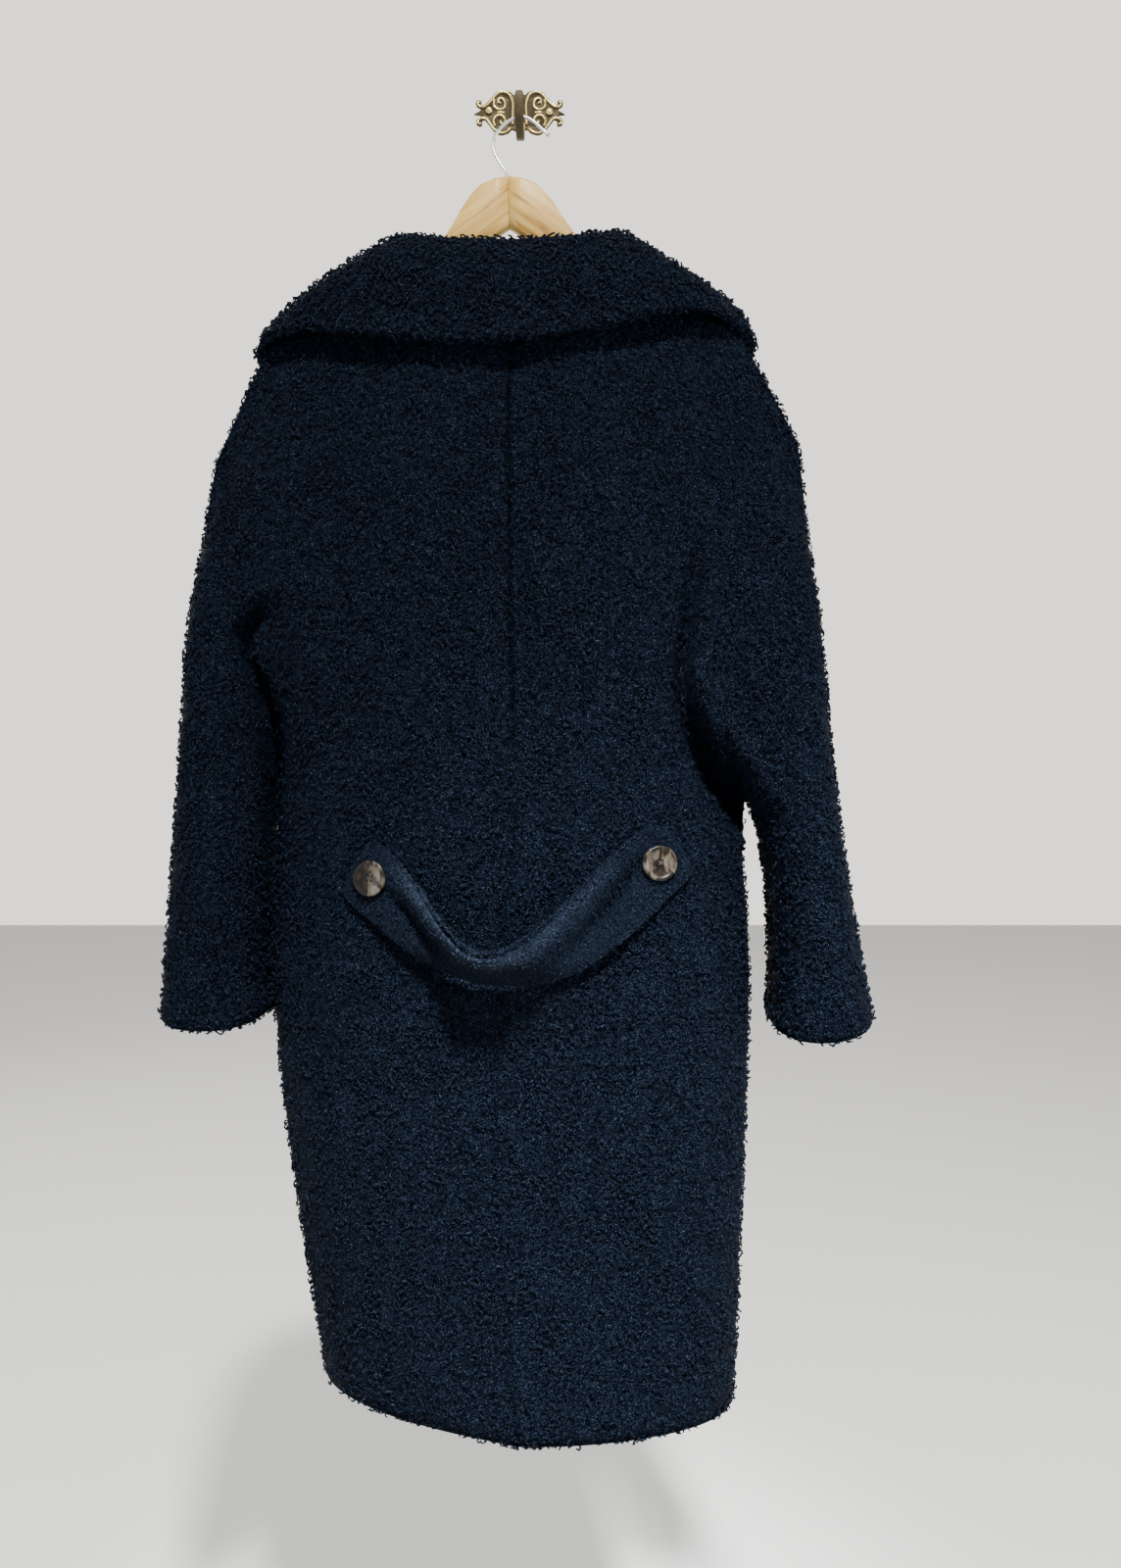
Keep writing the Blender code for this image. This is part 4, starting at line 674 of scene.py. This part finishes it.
def add_cloth(node, sewn_to, middle, fullness, seed, rests=HANGER_ARMS, spacing=CURL_SPACING,
              size=CURL_SIZE, folds=(), ground=ground_wool, loops=curl_wool, hardness=1.0, grooved=False,
              ridge_light_edge=None):
    """A panel of boucle with its curls.

    middle gives, for a place on the cloth, a point on the cloth's inner side. Without it the larger wall is the
    outer one. grooved draws in the first seam and marks it for painted shade, and along the edge given last the
    cloth gets more painted glints, a painted highlight on its lit ridge.
    """
    shape = panel_shape(node, sewn_to, middle is None, hardness)
    seam = shape.verts.layers.float["seam"]
    # The seam layer deepens the groove and marks where the shader paints shade into it
    for vert in shape.verts:
        flatter = SEAM_FLATTER * min(1.0, max(0.0, (SEAM_DEEP - vert.co.z) / SEAM_FADE))
        vert[seam] = vert[seam] * (1.0 - flatter) if grooved else 0.0
        vert.co.y += SEAM_GROOVE * vert[seam]
    fold_cloth(shape, folds)
    shape.normal_update()
    if ridge_light_edge:
        # Painted highlight: how strongly each place on the belt's lit ridge gets extra painted glints
        rubbed = shape.verts.layers.float.new("rubbed")
        for vert in shape.verts:
            vert[rubbed] = fold_push(ridge_light_edge, vert.co).length / MM
    curly = shape.faces.layers.float.new("curly")
    rim = shape.faces.layers.float.new("rim")
    for face in shape.faces:
        place = face.calc_center_median()
        in_groove = max(vert[seam] for vert in face.verts) > IN_GROOVE
        if face.material_index == OUTER or (middle and face.normal.dot(place - middle(place)) > 0):
            face[curly] = GROOVE_CURLS * fullness if in_groove else fullness
        if face.material_index == RIM and (middle is None or face.normal.z < DOWNWARD or rests != HANGER_ARMS):
            face[rim] = 1.0
        face.material_index = 0
    piece = add_piece(node + "_cloth", shape, ground, [node], smooth_angle=55)
    curls = add_curls(node + "_curls", piece.data, spacing, size, seed, loops)
    return piece, curls


# Body: two backs, joined by a seam down the middle, and two fronts that lap each other against the wall

BODY_DEPTH = -0.085             # the middle of the body between the wall and its back
BODY_TOP = -0.33                # the height where that middle ends, below the shoulders
BODY_NARROW = 0.6               # its width, where the body's is 1


def body_middle(place):
    """A point inside the body, level with a place on its cloth."""
    return Vector((place.x * BODY_NARROW, BODY_DEPTH, min(place.z, BODY_TOP)))


for side, other, seed in (("left", "right", 11), ("right", "left", 12)):
    back, front, sleeve = "back_" + side, "front_" + side, "sleeve_" + side
    add_cloth(back, ["back_" + other, front, sleeve, "collar"], body_middle, 1.0, seed,
              folds=BODY_FOLDS[side], grooved=True)
    add_cloth(front, [back, sleeve, "collar"], body_middle, 0.35, seed + 2,
              folds=BODY_FOLDS[side])


# Sleeves: one tube each, set into the armhole and hanging beside the body, open at the cuff

SLEEVE_TOP, SLEEVE_DROP = -0.42, 0.39           # the height where a sleeve's middle line starts, and its drop
SLEEVE_OUT, SLEEVE_SPREAD = 0.235, 0.027        # its distance from the coat's middle, and how much it widens
SLEEVE_OFF, SLEEVE_SLANT = 0.085, 0.015         # its distance from the wall, and how much that grows


def sleeve_middle(side):
    """For a place on a sleeve, a point on the sleeve's middle line."""
    def middle(place):
        share = min(max((SLEEVE_TOP - place.z) / SLEEVE_DROP, 0.0), 1.0)
        return Vector((side * (SLEEVE_OUT + SLEEVE_SPREAD * share), -SLEEVE_OFF - SLEEVE_SLANT * share,
                       min(place.z, SLEEVE_TOP)))
    return middle


add_cloth("sleeve_left", ["back_left", "front_left"], sleeve_middle(-1), 1.0, 21,
          folds=SLEEVE_FOLDS["left"])
add_cloth("sleeve_right", ["back_right", "front_right"], sleeve_middle(1), 1.0, 22,
          folds=SLEEVE_FOLDS["right"])


# Collar and lapels: the collar is one folded double piece that stands on the neckline, rolls over and falls wide
# over the shoulders, pressed back along its roll. The lapels are the fronts' corners, turned back against the
# wall.

LAPEL_INSIDE = -0.09            # a depth on the lapels' inner side
COLLAR_PRESSED = Fold([(-233, -241, 55, 0), (-214, -235, 55, 11), (-160, -243, 55, 27), (-88, -256, 55, 26),
                       (-5, -258, 55, 25), (74, -244, 55, 26), (125, -228, 55, 23), (181, -217, 55, 9),
                       (208, -233, 55, 0)], (0, 1, 0.45), -400, -60)


def at_depth(depth):
    """For a place on the cloth, the point level with it at a depth."""
    return lambda place: Vector((place.x, depth, place.z))


add_cloth("collar", ["back_left", "back_right"], None, 1.0, 31, spacing=4.7 * MM, size=1.3,
          folds=[COLLAR_PRESSED])
for side in ("left", "right"):
    add_cloth("lapel_" + side, [], at_depth(LAPEL_INSIDE), 0.5, 32)


# Half belt: two layers of the same wool, felted flatter, seamed along both edges and buttoned at both ends.
# It is longer than the back is wide, so it sags, creases near its buttons and stands off the cloth between them.

# The belt's colours are painted lighter than the coat's, for the light its face catches; as for the coat, its
# gaps carry painted shade and its glints are painted highlights
belt_wool = wool("felted_boucle", (0.0006, 0.0011, 0.0028), (0.0050, 0.0090, 0.0205), (0.085, 0.122, 0.195),
                 300.0, 760.0, 0.3, 0.03, 0.01)
belt_loops = wool("felted_loops", (0.0008, 0.0015, 0.0035), (0.0100, 0.0166, 0.0345), (0.170, 0.232, 0.335),
                  330.0, 760.0, 0.3, 0.08, 0.02)
BELT_CURL_SPACING = 2.9 * MM
BELT_CURL_SIZE = 0.62
BELT_HARDNESS = 0.25            # how sharp the belt's edges stay
UPPER_EDGE = [(-113, -664, 0.0), (-104, -673, 0.3), (-87, -692, 0.5), (-70, -709, 0.8), (-50, -733, 0.9),
              (-20, -746, 1.0), (8, -739, 0.9), (25, -729, 0.9), (51, -708, 0.8), (67, -691, 0.5),
              (84, -672, 0.3), (104, -657, 0.0)]
LOWER_EDGE = [(-96, -747, 0.0), (-60, -766, 0.6), (-20, -778, 1.0), (6, -778, 1.0), (50, -770, 0.6),
              (90, -744, 0.0)]


def along(edge, width, depth):
    """A fold's line along an edge whose rows are x, z and the share of the depth."""
    return [(x, z, width, depth * share) for x, z, share in edge]


ROLLED_EDGE = Fold(along(UPPER_EDGE, 11, 13), (0, 1, 0), -400, 0)    # the upper edge rolls back
TUCKED_EDGE = Fold(along(LOWER_EDGE, 16, 7), (0, 1, 0), -400, 0)     # and the lower edge tucks in
RAISED_EDGE = Fold(along(UPPER_EDGE, 6, 4), (0, 0.5, 0.9), -400, 0)  # the inner layer shows above the outer one
CREASES = [
    Fold([(-106, -704, 5, 4), (-88, -720, 6, 9), (-64, -744, 7, 9), (-36, -764, 8, 0)], (0, 1, 0), -400, 0),
    Fold([(102, -684, 6, 4), (88, -704, 7, 11), (72, -726, 8, 13), (50, -748, 8, 7), (30, -760, 8, 0)],
         (0, 1, 0), -400, 0)]
BELT_FOLDS = CREASES + [ROLLED_EDGE, TUCKED_EDGE]

# Not a fold but the belt's ridge that catches the light, where more glints are painted as a painted highlight,
# with its strength as the depth
RIDGE_LIGHT_EDGE = Fold([(-102, -678, 7, 0.2), (-82, -700, 7, 0.9), (-60, -727, 7, 1.0), (-38, -747, 7, 1.0),
                    (-13, -753, 7, 0.9), (13, -746, 7, 0.7), (43, -720, 7, 0.55), (68, -696, 7, 0.4),
                    (92, -672, 7, 0)], (0, 1, 0), -400, 0)

for node, folds, seed in (("belt_outer", BELT_FOLDS, 41), ("belt_inner", BELT_FOLDS + [RAISED_EDGE], 42)):
    add_cloth(node, [], at_depth(0.0), 1.0, seed, ["back_left", "back_right"],
              BELT_CURL_SPACING, BELT_CURL_SIZE, folds, belt_wool, belt_loops, BELT_HARDNESS,
              ridge_light_edge=RIDGE_LIGHT_EDGE)


# Buttons: turned from grey and brown horn, 30 mm across, dished inside a raised rim. Each is drilled with four
# holes and sewn on through them.

BUTTON_RIM = [                  # millimetres from the axis and from the cloth
    (0.0, 0.4), (10.5, 0.4), (13.4, 1.0), (14.7, 2.2), (14.5, 3.4), (13.6, 4.1), (12.6, 4.1), (11.6, 3.5),
    (10.0, 3.0), (0.0, 2.7)]
ROUND = 56                      # steps around a button
BUTTON_SHARP = 45               # degrees, above which a button's edge stays sharp
HOLES = 4
HOLE_RADIUS = 1.15 * MM
HOLE_OUT = 2.7 * MM
BACKWARD = 0.8                  # the y of its normal, above which a CAD button's face is its flat back
THREAD = 0.45 * MM              # radius of the sewing thread
FACE_TOP = 2.6 * MM             # the dished face, where the thread comes out
STITCH_FLAT = 0.35              # the height of a stitch, where a half circle's is 1


def horn():
    """Grey-beige horn with brown and amber streaks."""
    finish, surface, tree = new_finish("streaked_horn", 0.4, Coat_Weight=0.08, Coat_Roughness=0.2,
                                       Specular_IOR_Level=0.2)
    stretched = node_of(tree, "ShaderNodeMapping", {"Vector": on_piece(tree), "Scale": (1.0, 1.0, 0.55),
                                                    "Rotation": (0, 0.5, 0)}).outputs["Vector"]
    streaks = noise(tree, stretched, Scale=85.0, Detail=4.0, Distortion=1.6)
    colour = ramp(tree, streaks, [(0.40, (0.003, 0.002, 0.001)), (0.47, (0.014, 0.008, 0.004)),
                                  (0.52, (0.042, 0.034, 0.024)), (0.66, (0.080, 0.069, 0.055))])
    tree.links.new(colour, surface.inputs["Base Color"])
    bump_from(tree, surface, noise(tree, stretched, Scale=900.0, Detail=2.0), 0.08, 0.2 * MM)
    return finish


def waxed_thread():
    """Nearly black thread, with its fibres."""
    finish, surface, tree = new_finish("waxed_thread", 0.6)
    fibres = noise(tree, on_piece(tree), Scale=2200.0, Detail=2.0)
    colour = ramp(tree, fibres, [(0.35, (0.006, 0.005, 0.004)), (0.65, (0.022, 0.019, 0.015))])
    tree.links.new(colour, surface.inputs["Base Color"])
    bump_from(tree, surface, fibres, 0.4, 0.2 * MM)
    return finish


horn_finish = horn()
thread_finish = waxed_thread()


def seat_of(node):
    """The middle of a CAD button's back, and its outward axis: opposite to the mean way its back faces."""
    data = frame["nodes"][node].data
    backs = Vector()
    middle = Vector()
    for vert in data.vertices:
        middle += vert.co / len(data.vertices)
    for face in data.polygons:
        if face.normal.y > BACKWARD:
            backs += face.normal * face.area
    axis = -backs.normalized()
    lowest = min((vert.co - middle).dot(axis) for vert in data.vertices)
    return middle + axis * lowest, axis


def hole_turn(number):
    """The turn that brings the x axis to one of a button's holes."""
    return Matrix.Rotation(math.pi / 4 + number * math.pi / 2, 4, "Z")


def put_in_order(shape):
    """Numbers a shape's parts by place, since a spin of lone edges leaves them in another order each run."""
    for elements, place in ((shape.verts, lambda vert: tuple(vert.co)),
                            (shape.edges, lambda edge: tuple(edge.verts[0].co + edge.verts[1].co)),
                            (shape.faces, lambda face: tuple(face.calc_center_median()))):
        for number, element in enumerate(sorted(elements, key=place)):
            element.index = number
        elements.sort()


def turned_button(stand):
    """A button as a bmesh, turned around its axis."""
    shape = bmesh.new()
    line = [shape.verts.new((radius * MM, 0, height * MM)) for radius, height in BUTTON_RIM]
    edges = [shape.edges.new(pair) for pair in zip(line, line[1:])]
    bmesh.ops.spin(shape, geom=line + edges, cent=(0, 0, 0), axis=(0, 0, 1), dvec=(0, 0, 0), angle=2 * math.pi,
                   steps=ROUND, use_merge=True)
    put_in_order(shape)
    bmesh.ops.remove_doubles(shape, verts=shape.verts[:], dist=0.01 * MM)
    bmesh.ops.recalc_face_normals(shape, faces=shape.faces[:])
    bmesh.ops.transform(shape, matrix=stand, verts=shape.verts[:])
    return shape


def drill(button, stand):
    """Cuts a button's holes."""
    drills = bmesh.new()
    for number in range(HOLES):
        bmesh.ops.create_cone(drills, cap_ends=True, segments=14, radius1=HOLE_RADIUS, radius2=HOLE_RADIUS,
                              depth=12 * MM,
                              matrix=stand @ hole_turn(number) @ Matrix.Translation((HOLE_OUT, 0, 0)))
    cutter = shown("drill", mesh_of("drill", drills))
    change = button.modifiers.new("holes", "BOOLEAN")
    change.object = cutter
    change.solver = "EXACT"
    drilled = bpy.data.meshes.new_from_object(button.evaluated_get(bpy.context.evaluated_depsgraph_get()))
    button.modifiers.clear()
    button.data = drilled
    drilled.set_sharp_from_angle(angle=math.radians(BUTTON_SHARP))
    bpy.data.objects.remove(cutter, do_unlink=True)


def crossed_stitches(stand):
    """Two stitches as a bmesh, each a flattened half ring from one hole to the opposite one."""
    stitches = bmesh.new()
    for number in range(HOLES // 2):
        stitch = bmesh.new()
        bmesh.ops.create_circle(stitch, segments=6, radius=THREAD, matrix=Matrix.Translation((HOLE_OUT, 0, 0)))
        bmesh.ops.spin(stitch, geom=stitch.verts[:] + stitch.edges[:], cent=(0, 0, 0), axis=(0, -1, 0),
                       dvec=(0, 0, 0), angle=math.pi, steps=10)
        put_in_order(stitch)
        bmesh.ops.holes_fill(stitch, edges=stitch.edges[:])
        bmesh.ops.scale(stitch, vec=(1, 1, STITCH_FLAT), verts=stitch.verts[:])
        bmesh.ops.transform(stitch, matrix=stand @ Matrix.Translation((0, 0, FACE_TOP)) @ hole_turn(number),
                            verts=stitch.verts[:])
        bmesh.ops.recalc_face_normals(stitch, faces=stitch.faces[:])
        mesh = mesh_of("stitch", stitch)
        stitches.from_mesh(mesh)
        bpy.data.meshes.remove(mesh)
    return stitches


for side in ("left", "right"):
    node = "button_" + side
    seat, axis = seat_of(node)
    stand = Matrix.Translation(seat) @ axis.to_track_quat("Z", "Y").to_matrix().to_4x4()
    button = add_piece(node + "_horn", turned_button(stand), horn_finish, [node],
                       smooth_angle=BUTTON_SHARP)
    drill(button, stand)
    add_piece(node + "_thread", crossed_stitches(stand), thread_finish)


# The curls are made, so their patterns leave the scene
for kind in curl_kinds.objects[:]:
    bpy.data.objects.remove(kind, do_unlink=True)
bpy.data.collections.remove(curl_kinds)
